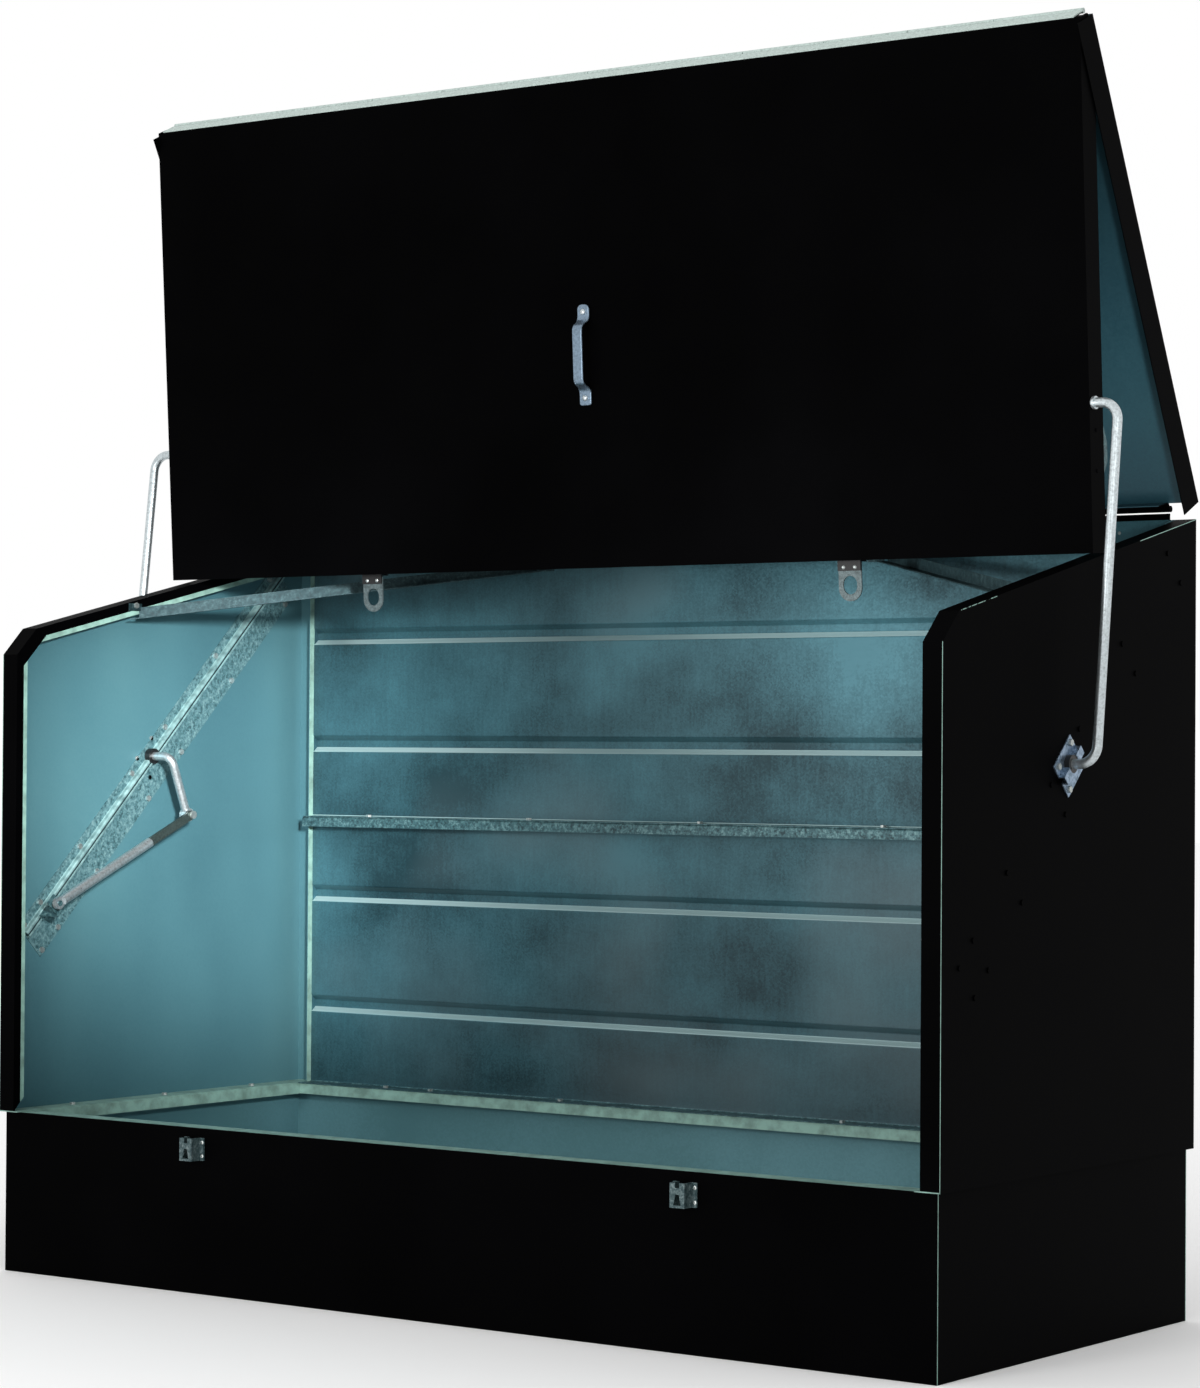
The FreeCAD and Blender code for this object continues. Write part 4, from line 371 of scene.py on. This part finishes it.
def moulded(graph):
    """Black plastic with a fine grain."""
    grain = graph.noise(scale=700.0)
    colour = graph.ramp(grain, (0.3, BLACK), (0.8, RUBBER))
    normal = graph.bump(grain, strength=0.12, distance=0.0004)
    return graph.shader(colour, 0.0, 0.38, normal, specular=0.4)


# Materials

def finished(name, surface, **settings):
    graph = Graph(name)
    return graph.finish(surface(graph, **settings))


def wall_material(name, side):
    """Black outside, zinc inside, lips that are part black and part cream, and painted highlights along the
    outer edges.
    """
    graph = Graph(name)
    across = graph.math("MULTIPLY", graph.axis(0), side)
    inward = graph.above(graph.facing((-side, 0.0, 0.0)), INWARD)
    from_front = graph.along((0.0, 1.0, 0.0), (0.0, FRONT_Y, 0.0))
    from_top = graph.along((0.0, math.sin(SLOPE), -math.cos(SLOPE)), (0.0, REAR_Y, BACK_TOP))
    from_chamfer = graph.along((0.0, math.sqrt(0.5), -math.sqrt(0.5)), (0.0, FRONT_Y, CHAMFER_FOOT))
    hem = graph.math("MINIMUM", from_front, from_top)
    lip = graph.both(graph.below(across, LIP_PLANE), inward)
    edging = graph.both(graph.above(hem, LIP_BLACK), graph.above(from_chamfer, LIP_WIDTH))
    rear = graph.above(from_front, REAR_Y - FRONT_Y - REAR_LIP)
    low = graph.below(graph.axis(2), PLINTH_TOP + FOOT_EDGE)
    foot = graph.both(low, graph.below(across, WALL_X - SHEET))
    cream = graph.either(graph.both(lip, graph.either(edging, rear)), foot)
    # Painted highlights: pale lines along the front corner and the sloping top edge, broken into dashes near
    # the front.
    corner = graph.both(graph.above(across, WALL_X - CORNER_REACH), graph.below(from_front, CORNER_LINE))
    dashes = graph.above(graph.noise(scale=90.0), 0.50)
    lengths = graph.either(graph.above(from_front, RIM_REAR_START),
                           graph.both(dashes, graph.below(from_front, RIM_FRONT_END)))
    rim_highlight = graph.both(graph.above(across, WALL_X - RIM_REACH), graph.below(from_top, RIM_LINE), lengths)
    x, y, z = WALL_INSIDE
    outside = graph.either(graph.outward((side * x, y, z)), lip)
    surface = graph.blend(outside, wall_zinc(graph), black_coat(graph))
    return graph.finish(graph.blend(graph.either(cream, corner, rim_highlight), surface, cream_coat(graph)))


def plinth_material():
    """Black outside, zinc inside, with a pale top flange and lip, and a painted highlight on the panel ends.
    """
    graph = Graph("plinth_sheet")
    outward = graph.outward(PLINTH_INSIDE)
    top = graph.above(graph.facing((0.0, 0.0, 1.0)), UPWARD)
    inner = graph.either(graph.below(outward, 0.5), top)
    lip = graph.both(graph.above(graph.axis(2), PLINTH_TOP - PLINTH_LIP), inner)
    # Painted highlight: the panel ends at the corners are pale.
    ends = graph.both(graph.above(graph.size(graph.axis(0)), PLINTH_END_X),
                      graph.above(graph.size(graph.facing((1.0, 0.0, 0.0))), ENDWARD),
                      graph.above(graph.size(graph.axis(1)), PLINTH_END_Y))
    surface = graph.blend(outward, wall_zinc(graph, WALL, WALL_LIGHT, PLINTH_LIGHT), black_coat(graph))
    return graph.finish(graph.blend(graph.either(lip, ends), surface, cream_coat(graph)))


def back_material():
    """Black behind and zinc in front, with mottled zinc on the seam and the foot."""
    graph = Graph("back_sheet")
    high = graph.axis(2)
    seam = graph.both(graph.above(high, SEAM_LOW), graph.below(high, SEAM_HIGH),
                      graph.below(graph.axis(1), SEAM_FACE))
    foot = graph.below(high, PLINTH_TOP + BACK_FOOT)
    behind = graph.above(graph.facing((0.0, 1.0, 0.0)), BACKWARD)
    surface = graph.blend(graph.either(seam, foot), back_zinc(graph), mottled(graph))
    return graph.finish(graph.blend(behind, surface, black_coat(graph)))


def tray_material(name, inside):
    """Black outside and on the side flanges, galvanised under, with the zinc darkened as painted shade."""
    graph = Graph(name)
    flange = graph.above(graph.size(graph.axis(0)), TRAY_SIDE)
    outside = graph.either(graph.outward(inside), flange)
    # Painted shade: the underside is a darker copy of the walls' zinc.
    under = wall_zinc(graph, LID_SHADE_DARK, LID_SHADE, WALL_DARK)
    return graph.finish(graph.blend(outside, under, black_coat(graph)))


def channel_material():
    """Mottled flanges, and a crown with a painted highlight, split down the middle by a line of painted
    shade.
    """
    graph = Graph("channel_zinc")
    across = graph.along((0.0, -math.sin(CHANNEL_TURN), math.cos(CHANNEL_TURN)), (0.0, FRONT_Y, 0.0))
    # Painted highlight: the crown is brighter than the flanges.
    crown = graph.both(graph.above(across, CROWN_LOW - CROWN_EDGE),
                       graph.below(across, CROWN_HIGH + CROWN_EDGE))
    # Painted shade: a dark line down the middle of the crown.
    groove_shade = graph.below(graph.size(graph.math("SUBTRACT", across, CROWN_MIDDLE)), GROOVE_LINE)
    tone = graph.ramp(graph.noise(scale=60.0), (0.30, ZINC_LIGHT), (0.62, CHANNEL_PAINTED_HIGHLIGHT))
    crown_highlight = graph.shader(graph.mix(groove_shade, tone, ZINC_DARK), 0.45, 0.30)
    flange = mottled(graph, CHANNEL_DARK, CHANNEL, CHANNEL_LIGHT)
    return graph.finish(graph.blend(crown, flange, crown_highlight))


def bolt_material():
    """Zinc inside the walls, and black on the outside with the coat."""
    graph = Graph("wall_bolts")
    outside = graph.above(graph.size(graph.axis(0)), WALL_X)
    return graph.finish(graph.blend(outside, plate(graph, STEEL, 0.30), black_coat(graph)))


def dress(material, *names):
    for name in names:
        slots = nodes[name].material_slots
        for slot in slots:
            slot.material = material
        if not slots:
            nodes[name].data.materials.append(material)


# Folded sheet: a bent line in a plane, given a thickness and drawn out along the fold

STRAIGHT = 1e-4
BEND_SHARE = 0.48
WELD = 1e-6


def turn_right(way):
    return Vector((way.y, -way.x))


def moved_right(points, distance):
    """The same bent line, moved to the right of its own direction."""
    moved = []
    for index, point in enumerate(points):
        ways = []
        if index:
            ways.append((point - points[index - 1]).normalized())
        if index + 1 < len(points):
            ways.append((points[index + 1] - point).normalized())
        total = sum((turn_right(way) for way in ways), Vector((0.0, 0.0)))
        moved.append(point + total * (distance / total.dot(turn_right(ways[0]))))
    return moved


def rounded(points, radius, steps=6):
    """The line with its bends rounded, as points with their right-hand normals."""
    line = [(points[0], turn_right((points[1] - points[0]).normalized()))]
    for before, point, after in zip(points, points[1:], points[2:]):
        arriving = (point - before).normalized()
        leaving = (after - point).normalized()
        cross = arriving.x * leaving.y - arriving.y * leaving.x
        turn = math.atan2(cross, arriving.dot(leaving))
        if abs(turn) < STRAIGHT:
            line.append((point, turn_right(arriving)))
            continue
        room = BEND_SHARE * min((point - before).length, (after - point).length)
        reach = min(radius * math.tan(abs(turn) / 2), room)
        bend = reach / math.tan(abs(turn) / 2)
        side = turn_right(arriving) * (-1 if turn > 0 else 1)
        centre = point - arriving * reach + side * bend
        for step in range(steps + 1):
            spin = Matrix.Rotation(turn * step / steps, 2)
            line.append((centre - spin @ side * bend, spin @ turn_right(arriving)))
    line.append((points[-1], turn_right((points[-1] - points[-2]).normalized())))
    return line


def finish_mesh(name, build, material, body, replaced, crease=32.0):
    """A smooth-shaded piece from a bmesh, riding on its body in place of CAD nodes."""
    bmesh.ops.remove_doubles(build, verts=build.verts, dist=WELD)
    bmesh.ops.recalc_face_normals(build, faces=build.faces)
    mesh = bpy.data.meshes.new(name)
    build.to_mesh(mesh)
    build.free()
    mesh.materials.append(material)
    mesh.polygons.foreach_set("use_smooth", [True] * len(mesh.polygons))
    mesh.set_sharp_from_angle(angle=math.radians(crease))
    piece = bpy.data.objects.new(name, mesh)
    bpy.context.collection.objects.link(piece)
    even = piece.modifiers.new("even_shading", "WEIGHTED_NORMAL")
    even.keep_sharp = True
    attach(piece, body)
    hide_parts(*replaced)


def add_bands(build, rings):
    """Faces that join each closed ring of corners to the next."""
    for ring_a, ring_b in zip(rings, rings[1:]):
        for i in range(len(ring_a)):
            build.faces.new((ring_a[i - 1], ring_a[i], ring_b[i], ring_b[i - 1]))


def add_solid(build, rings):
    """Closed rings of corners, joined and capped at both ends."""
    add_bands(build, rings)
    build.faces.new(rings[0])
    build.faces.new(rings[-1])


def add_fold(build, corners, gauge, radius, low, high, place):
    """A folded sheet between two places on its fold line."""
    line = rounded(moved_right([Vector(corner) for corner in corners], gauge / 2), radius + gauge / 2)
    rings = []
    for end in (low, high):
        inner = [build.verts.new(place(*(point - way * gauge / 2), end)) for point, way in line]
        outer = [build.verts.new(place(*(point + way * gauge / 2), end)) for point, way in line]
        rings.append((inner, outer))
    (inner_a, outer_a), (inner_b, outer_b) = rings
    for i in range(len(line) - 1):
        build.faces.new((inner_a[i], inner_a[i + 1], inner_b[i + 1], inner_b[i]))
        build.faces.new((outer_a[i], outer_b[i], outer_b[i + 1], outer_a[i + 1]))
        build.faces.new((inner_a[i], outer_a[i], outer_a[i + 1], inner_a[i + 1]))
        build.faces.new((inner_b[i], inner_b[i + 1], outer_b[i + 1], outer_b[i]))
    for i in (0, -1):
        build.faces.new((inner_a[i], inner_b[i], outer_b[i], outer_a[i]))


# Back wall: the panels' ribs have sloping sides and rounded bends

RIB_ROOM = 0.012
CORNER_FLANGE = 0.045
INNER_BACK = REAR_Y - RIB_ROOM - SHEET
BACK_HALF = WALL_X - CORNER_FLANGE
BACK_BEND = 0.0035
FOOT_REACH = 0.038
SEAM = 0.806
SEAM_REACH = 0.030
SEAM_LIP = 0.019
BAND_Y = 0.4047
BAND_HEIGHT = 0.039
BAND_Z = BACK_TOP - BAND_HEIGHT
RIB_HALF = 0.0155
RIB_STEP = 0.0085
RIB_DEEP = 0.010
LOWER_RIBS = (PLINTH_TOP + 0.155, SEAM - 0.150)
UPPER_RIBS = (SEAM + 0.143, BAND_Z - 0.133)
CLOSER_START = INNER_BACK + 0.0010
CLOSER_END = INNER_BACK + 0.0115
CLOSER_ROOM = 0.002


def in_section(y, z, x):
    return (x, y, z)


def rib(centre):
    return [(INNER_BACK, centre - RIB_HALF), (INNER_BACK + RIB_DEEP, centre - RIB_HALF + RIB_STEP),
            (INNER_BACK + RIB_DEEP, centre + RIB_HALF - RIB_STEP), (INNER_BACK, centre + RIB_HALF)]


def add_closer(build, side, low, high):
    """An upright strip that closes the ends of a panel's ribs."""
    outer = side * BACK_HALF
    inner = outer - side * SHEET
    ring = [(outer, CLOSER_START), (outer, CLOSER_END), (inner, CLOSER_END), (inner, CLOSER_START)]
    add_solid(build, [[build.verts.new((x, y, level)) for x, y in ring] for level in (low, high)])


def back_wall(material):
    seam_front = INNER_BACK - SEAM_REACH
    lower = [(INNER_BACK - FOOT_REACH, PLINTH_TOP + SHEET), (INNER_BACK, PLINTH_TOP + SHEET)]
    for centre in LOWER_RIBS:
        lower += rib(centre)
    lower += [(INNER_BACK, SEAM - SHEET), (seam_front, SEAM - SHEET), (seam_front, SEAM - SEAM_LIP)]
    upper = [(seam_front, SEAM + SHEET), (INNER_BACK, SEAM + SHEET)]
    for centre in UPPER_RIBS:
        upper += rib(centre)
    upper += [(INNER_BACK, BAND_Z), (BAND_Y, BAND_Z), (BAND_Y, BACK_TOP)]
    panels = (("back_panel_lower", lower, PLINTH_TOP + SHEET, SEAM - SHEET),
              ("back_panel_upper", upper, SEAM + SHEET, BAND_Z + CLOSER_ROOM))
    for name, corners, low, high in panels:
        build = bmesh.new()
        add_fold(build, corners, SHEET, BACK_BEND, -BACK_HALF, BACK_HALF, in_section)
        for side in (-1, 1):
            add_closer(build, side, low + CLOSER_ROOM, high - CLOSER_ROOM)
        finish_mesh(name + "_ribbed", build, material, "cabinet", (name,))


# Channels: top-hat sections that run up each side wall through the pivot

def on_wall(side, across, height, along):
    """A point drawn across and along a channel, at a height above the wall's skin."""
    x = side * (WALL_X - SHEET - height)
    y = along * math.cos(CHANNEL_TURN) - across * math.sin(CHANNEL_TURN) + FRONT_Y
    z = along * math.sin(CHANNEL_TURN) + across * math.cos(CHANNEL_TURN)
    return (x, y, z)


def channels(material):
    section = [(CHANNEL_HIGH, 0.0), (CROWN_HIGH, 0.0), (CROWN_HIGH, CROWN), (CROWN_MIDDLE + GROOVE, CROWN),
               (CROWN_MIDDLE, CROWN - GROOVE), (CROWN_MIDDLE - GROOVE, CROWN), (CROWN_LOW, CROWN),
               (CROWN_LOW, 0.0), (CHANNEL_LOW, 0.0)]
    for side, word in ((-1, "left"), (1, "right")):
        build = bmesh.new()
        add_fold(build, section, CHANNEL_GAUGE, CHANNEL_BEND, CHANNEL_START, CHANNEL_END,
                 partial(on_wall, side))
        finish_mesh("folded_channel_" + word, build, material, "cabinet",
                    ("pivot_channel_" + word,))


# Handle: a bent strap with rounded edges, held by two domed screws

RIDGE_Y, RIDGE_Z = 0.026232, 2.117585
DOOR_LEAN = math.radians(3.444)
DOOR_FACE = -0.0354
DOOR_BACK = 0.0016
HANDLE_MIDDLE = -0.490
HANDLE_HALF = 0.0875
HANDLE_FOOT = 0.026
HANDLE_RISE = 0.014
HANDLE_REACH = 0.024
HANDLE_GAUGE = 0.004
HANDLE_BEND = 0.013
HANDLE_STEP = 0.0008
FOOT_WIDTH = 0.0125
GRIP_NARROWER = 0.0022
NARROWING = 0.012
TOP_CORNER = 0.009
FOOT_CORNER = 0.0045
LEAST_WIDTH = 0.0025
DOME_RADIUS = 0.0056
DOME_HEIGHT = 0.0036
SHANK = 0.0030
NUT = 0.0054


def on_door(x, y, z):
    """A point drawn in the door's own frame, about the ridge hinge."""
    c, s = math.cos(DOOR_LEAN), math.sin(DOOR_LEAN)
    return (x, RIDGE_Y + y * c - z * s, RIDGE_Z + y * s + z * c)


def strap_width(from_top, from_foot):
    """Half the strap's width: wide feet with rounded corners, and a narrower grip between them."""
    near = min(from_top, from_foot)
    corner = TOP_CORNER if from_top < from_foot else FOOT_CORNER
    share = min(max((near - HANDLE_FOOT) / NARROWING, 0.0), 1.0)
    half = FOOT_WIDTH - GRIP_NARROWER * share * share * (3 - 2 * share)
    if near < corner:
        half -= corner - math.sqrt(max(corner ** 2 - (corner - near) ** 2, 0.0))
    return max(half, LEAST_WIDTH)


def strap_section(half):
    """A rounded oblong, as (across, out) pairs."""
    edge = HANDLE_GAUGE / 2
    ring = []
    for side in (1, -1):
        for step in range(9):
            angle = side * math.radians(90 - 22.5 * step)
            ring.append((side * (half - edge + edge * math.cos(angle)), edge * math.sin(angle)))
    return ring


def handle(material):
    face = DOOR_FACE - HANDLE_GAUGE / 2
    grip = DOOR_FACE - HANDLE_REACH + HANDLE_GAUGE / 2
    bend = HANDLE_HALF - HANDLE_FOOT
    path = [(face, HANDLE_HALF), (face, bend), (grip, bend - HANDLE_RISE),
            (grip, HANDLE_RISE - bend), (face, -bend), (face, -HANDLE_HALF)]
    bent = rounded([Vector(point) for point in path], HANDLE_BEND, 8)
    line = [bent[0]]
    for (start, way_a), (end, way_b) in zip(bent, bent[1:]):
        count = max(1, round((end - start).length / HANDLE_STEP))
        for step in range(1, count + 1):
            share = step / count
            line.append((start.lerp(end, share), way_a.lerp(way_b, share).normalized()))
    lengths = [0.0]
    for (start, _), (end, _) in zip(line, line[1:]):
        lengths.append(lengths[-1] + (end - start).length)
    build = bmesh.new()
    rings = []
    for (point, way), length in zip(line, lengths):
        ring = []
        for across, out in strap_section(strap_width(length, lengths[-1] - length)):
            spot = point + way * out
            ring.append(build.verts.new(on_door(across, spot.x, spot.y + HANDLE_MIDDLE)))
        rings.append(ring)
    add_solid(build, rings)
    finish_mesh("handle_strap", build, material, "door", ("handle",), 60.0)


def add_lathe(build, profile, middle, segments=28):
    """A turned solid on the door from (radius, height) pairs."""
    rings = []
    for radius, height in profile:
        ring = []
        for step in range(segments):
            angle = 2 * math.pi * step / segments
            spot = on_door(radius * math.cos(angle), height, middle + radius * math.sin(angle))
            ring.append(build.verts.new(spot))
        rings.append(ring)
    add_solid(build, rings)


def handle_screws(material):
    """Domed heads on the strap's feet, and their tails and nuts inside the door."""
    front = DOOR_FACE - HANDLE_GAUGE
    back = DOOR_FACE + DOOR_BACK
    profile = []
    for angle in range(0, 91, 15):
        slant = math.radians(angle)
        profile.append((DOME_RADIUS * math.sin(slant) + 0.0001, front - DOME_HEIGHT * math.cos(slant)))
    profile += [(SHANK, front + 0.0001), (SHANK, back), (NUT, back + 0.0002),
                (NUT, back + 0.0018), (0.0048, back + 0.0022), (0.0026, back + 0.0022)]
    build = bmesh.new()
    for level in (HANDLE_HALF - HANDLE_FOOT / 2, HANDLE_FOOT / 2 - HANDLE_HALF):
        add_lathe(build, profile, HANDLE_MIDDLE + level)
    finish_mesh("handle_screws", build, material, "door", ("handle_bolts",), 40.0)


# Finishes of the pieces that come from the CAD

dress(wall_material("left_wall_sheet", -1.0), "left_wall")
dress(wall_material("right_wall_sheet", 1.0), "right_wall")
dress(plinth_material(), "plinth_front", "plinth_back", "plinth_left", "plinth_right")
dress(tray_material("roof_sheet", ROOF_INSIDE), "roof_panel")
dress(tray_material("door_sheet", DOOR_INSIDE), "door_panel")
dress(finished("spangled_zinc", mottled), "door_stiffener", "roof_stiffener",
      "door_pivot_plate_left", "door_pivot_plate_right", "strut_anchor_left", "strut_anchor_right")
dress(finished("brace_zinc", mottled, dark=BRACE_DARK, middle=BRACE, light=BRACE_LIGHT, rough=0.55,
               metallic=0.6), "corner_brace_left", "corner_brace_right")
dress(finished("staple_zinc", mottled, middle=STAPLE, light=STAPLE_LIGHT, scale=420.0, rough=0.42),
      "lock_staple_left", "lock_staple_right")
dress(finished("hasp_zinc", mottled, dark=HASP_DARK, middle=HASP, light=HASP_LIGHT, scale=500.0,
               rough=0.45, metallic=0.2), "hasp_left", "hasp_right")
dress(finished("blue_zinc", mottled, dark=BRACKET_DARK, middle=BRACKET, light=BRACKET_LIGHT, scale=260.0,
               rough=0.26, metallic=0.85), "pivot_bracket_left", "pivot_bracket_right")
dress(finished("bright_plate", plate, colour=BRIGHT), "lifting_arm_left", "lifting_arm_right",
      "strut_sleeve_left", "strut_sleeve_right")
dress(finished("dark_link", plate, colour=LINK, rough=0.30), "strut_rod_left", "strut_rod_right")
dress(finished("dull_steel", plate, colour=STEEL, rough=0.34), "strut_spring_left", "strut_spring_right",
      "ridge_hinge_pin", "bracket_bolts", "brace_bolts", "seam_bolts", "hasp_rivets",
      "ridge_hinge_roof_rivets", "rear_hinge_roof_rivets", "rear_hinge_wall_rivets")
dress(bolt_material(), "channel_bolts", "plinth_bolts", "crank_bolt_left", "crank_bolt_right",
      "pivot_plate_rivets")
dress(finished("rivet_plate", plate, colour=RIVET, rough=0.12), "staple_rivets")
dress(finished("pale_strip", plate, colour=STRIP, rough=0.60, metallic=0.0),
      "ridge_strip", "ridge_hinge_roof_leaf", "ridge_strip_rivets")
dress(finished("coated_hinge", black_coat), "rear_hinge_roof_leaf", "rear_hinge_fixed_leaf", "rear_hinge_pin")
dress(finished("black_bush", moulded), "pivot_bush_left", "pivot_bush_right",
      "hasp_bracket_left", "hasp_bracket_right")

back_wall(back_material())
channels(channel_material())
handle(finished("grip_zinc", plate, colour=STEEL_BLUE, rough=0.26, metallic=0.9))
handle_screws(finished("screw_plate", plate, colour=BRIGHT, rough=0.16))


# Stage, light and camera

def floor():
    """A wide pale floor, just below the locker's foot."""
    reach = 30.0
    level = -0.0005
    corners = [(-reach, -reach, level), (reach, -reach, level), (reach, reach, level), (-reach, reach, level)]
    mesh = bpy.data.meshes.new("floor")
    mesh.from_pydata(corners, [], [(0, 1, 2, 3)])
    ground = bpy.data.objects.new("floor", mesh)
    bpy.context.collection.objects.link(ground)
    graph = Graph("pale_floor")
    mesh.materials.append(graph.finish(graph.shader(FLOOR, 0.0, 0.9, specular=0.1)))


def hang(lamp, place, target):
    holder = bpy.data.objects.new(lamp.name, lamp)
    holder.location = place
    holder.rotation_euler = (Vector(target) - Vector(place)).to_track_quat("-Z", "Y").to_euler()
    bpy.context.collection.objects.link(holder)


def area_light(name, place, target, size, power):
    lamp = bpy.data.lights.new(name, "AREA")
    lamp.shape = "RECTANGLE"
    lamp.size, lamp.size_y = size
    lamp.energy = power
    hang(lamp, place, target)


def spot_light(name, place, target, radius, width, power):
    """A soft-edged spot, so that what it lights falls off all round."""
    lamp = bpy.data.lights.new(name, "SPOT")
    lamp.shadow_soft_size = radius
    lamp.spot_size = math.radians(width)
    lamp.spot_blend = 1.0
    lamp.energy = power
    hang(lamp, place, target)


def studio():
    """White all round, with spots on the left wall, under the roof and on the back wall."""
    bpy.context.scene.view_settings.view_transform = "Standard"
    world = bpy.data.worlds.new("studio")
    world.use_nodes = True
    bpy.context.scene.world = world
    background = world.node_tree.nodes["Background"]
    background.inputs["Color"].default_value = MASK_IN
    background.inputs["Strength"].default_value = 1.0
    spot_light("key", (2.5, -2.7, 1.60), (-0.98, 0.16, 0.84), radius=0.20, width=16.0, power=2600.0)
    spot_light("side", (3.3, -2.9, 1.10), (0.88, 0.32, 1.60), radius=0.25, width=11.0, power=640.0)
    spot_light("back", (0.9, -4.2, 0.95), (0.36, 0.40, 1.16), radius=0.20, width=14.0, power=900.0)
    area_light("fill", (0.1, -4.2, 1.3), (0.1, 0.4, 1.05), size=(0.9, 0.9), power=55.0)


EYE = (3.8024, -5.1308, 0.9406)
HEADING, PITCH, ROLL = 0.6313, 0.0151, 0.0065
SENSOR, LENS = 36.0, 95.69


def camera():
    """The photograph's camera: its place, its heading, pitch and roll in radians, and its lens."""
    level = Vector((math.cos(HEADING), math.sin(HEADING), 0.0))
    forward = Vector((-math.sin(HEADING), math.cos(HEADING), 0.0))
    ahead = forward * math.cos(PITCH) + Vector((0.0, 0.0, math.sin(PITCH)))
    upward = level.cross(ahead)
    right = level * math.cos(ROLL) + upward * math.sin(ROLL)
    up = upward * math.cos(ROLL) - level * math.sin(ROLL)
    data = bpy.data.cameras.new("camera")
    data.sensor_width = SENSOR
    data.lens = LENS
    data.clip_end = 200.0
    eye = bpy.data.objects.new("camera", data)
    turn = Matrix((right, up, -ahead)).transposed()
    eye.matrix_world = Matrix.Translation(EYE) @ turn.to_4x4()
    bpy.context.collection.objects.link(eye)
    bpy.context.scene.camera = eye


floor()
studio()
camera()
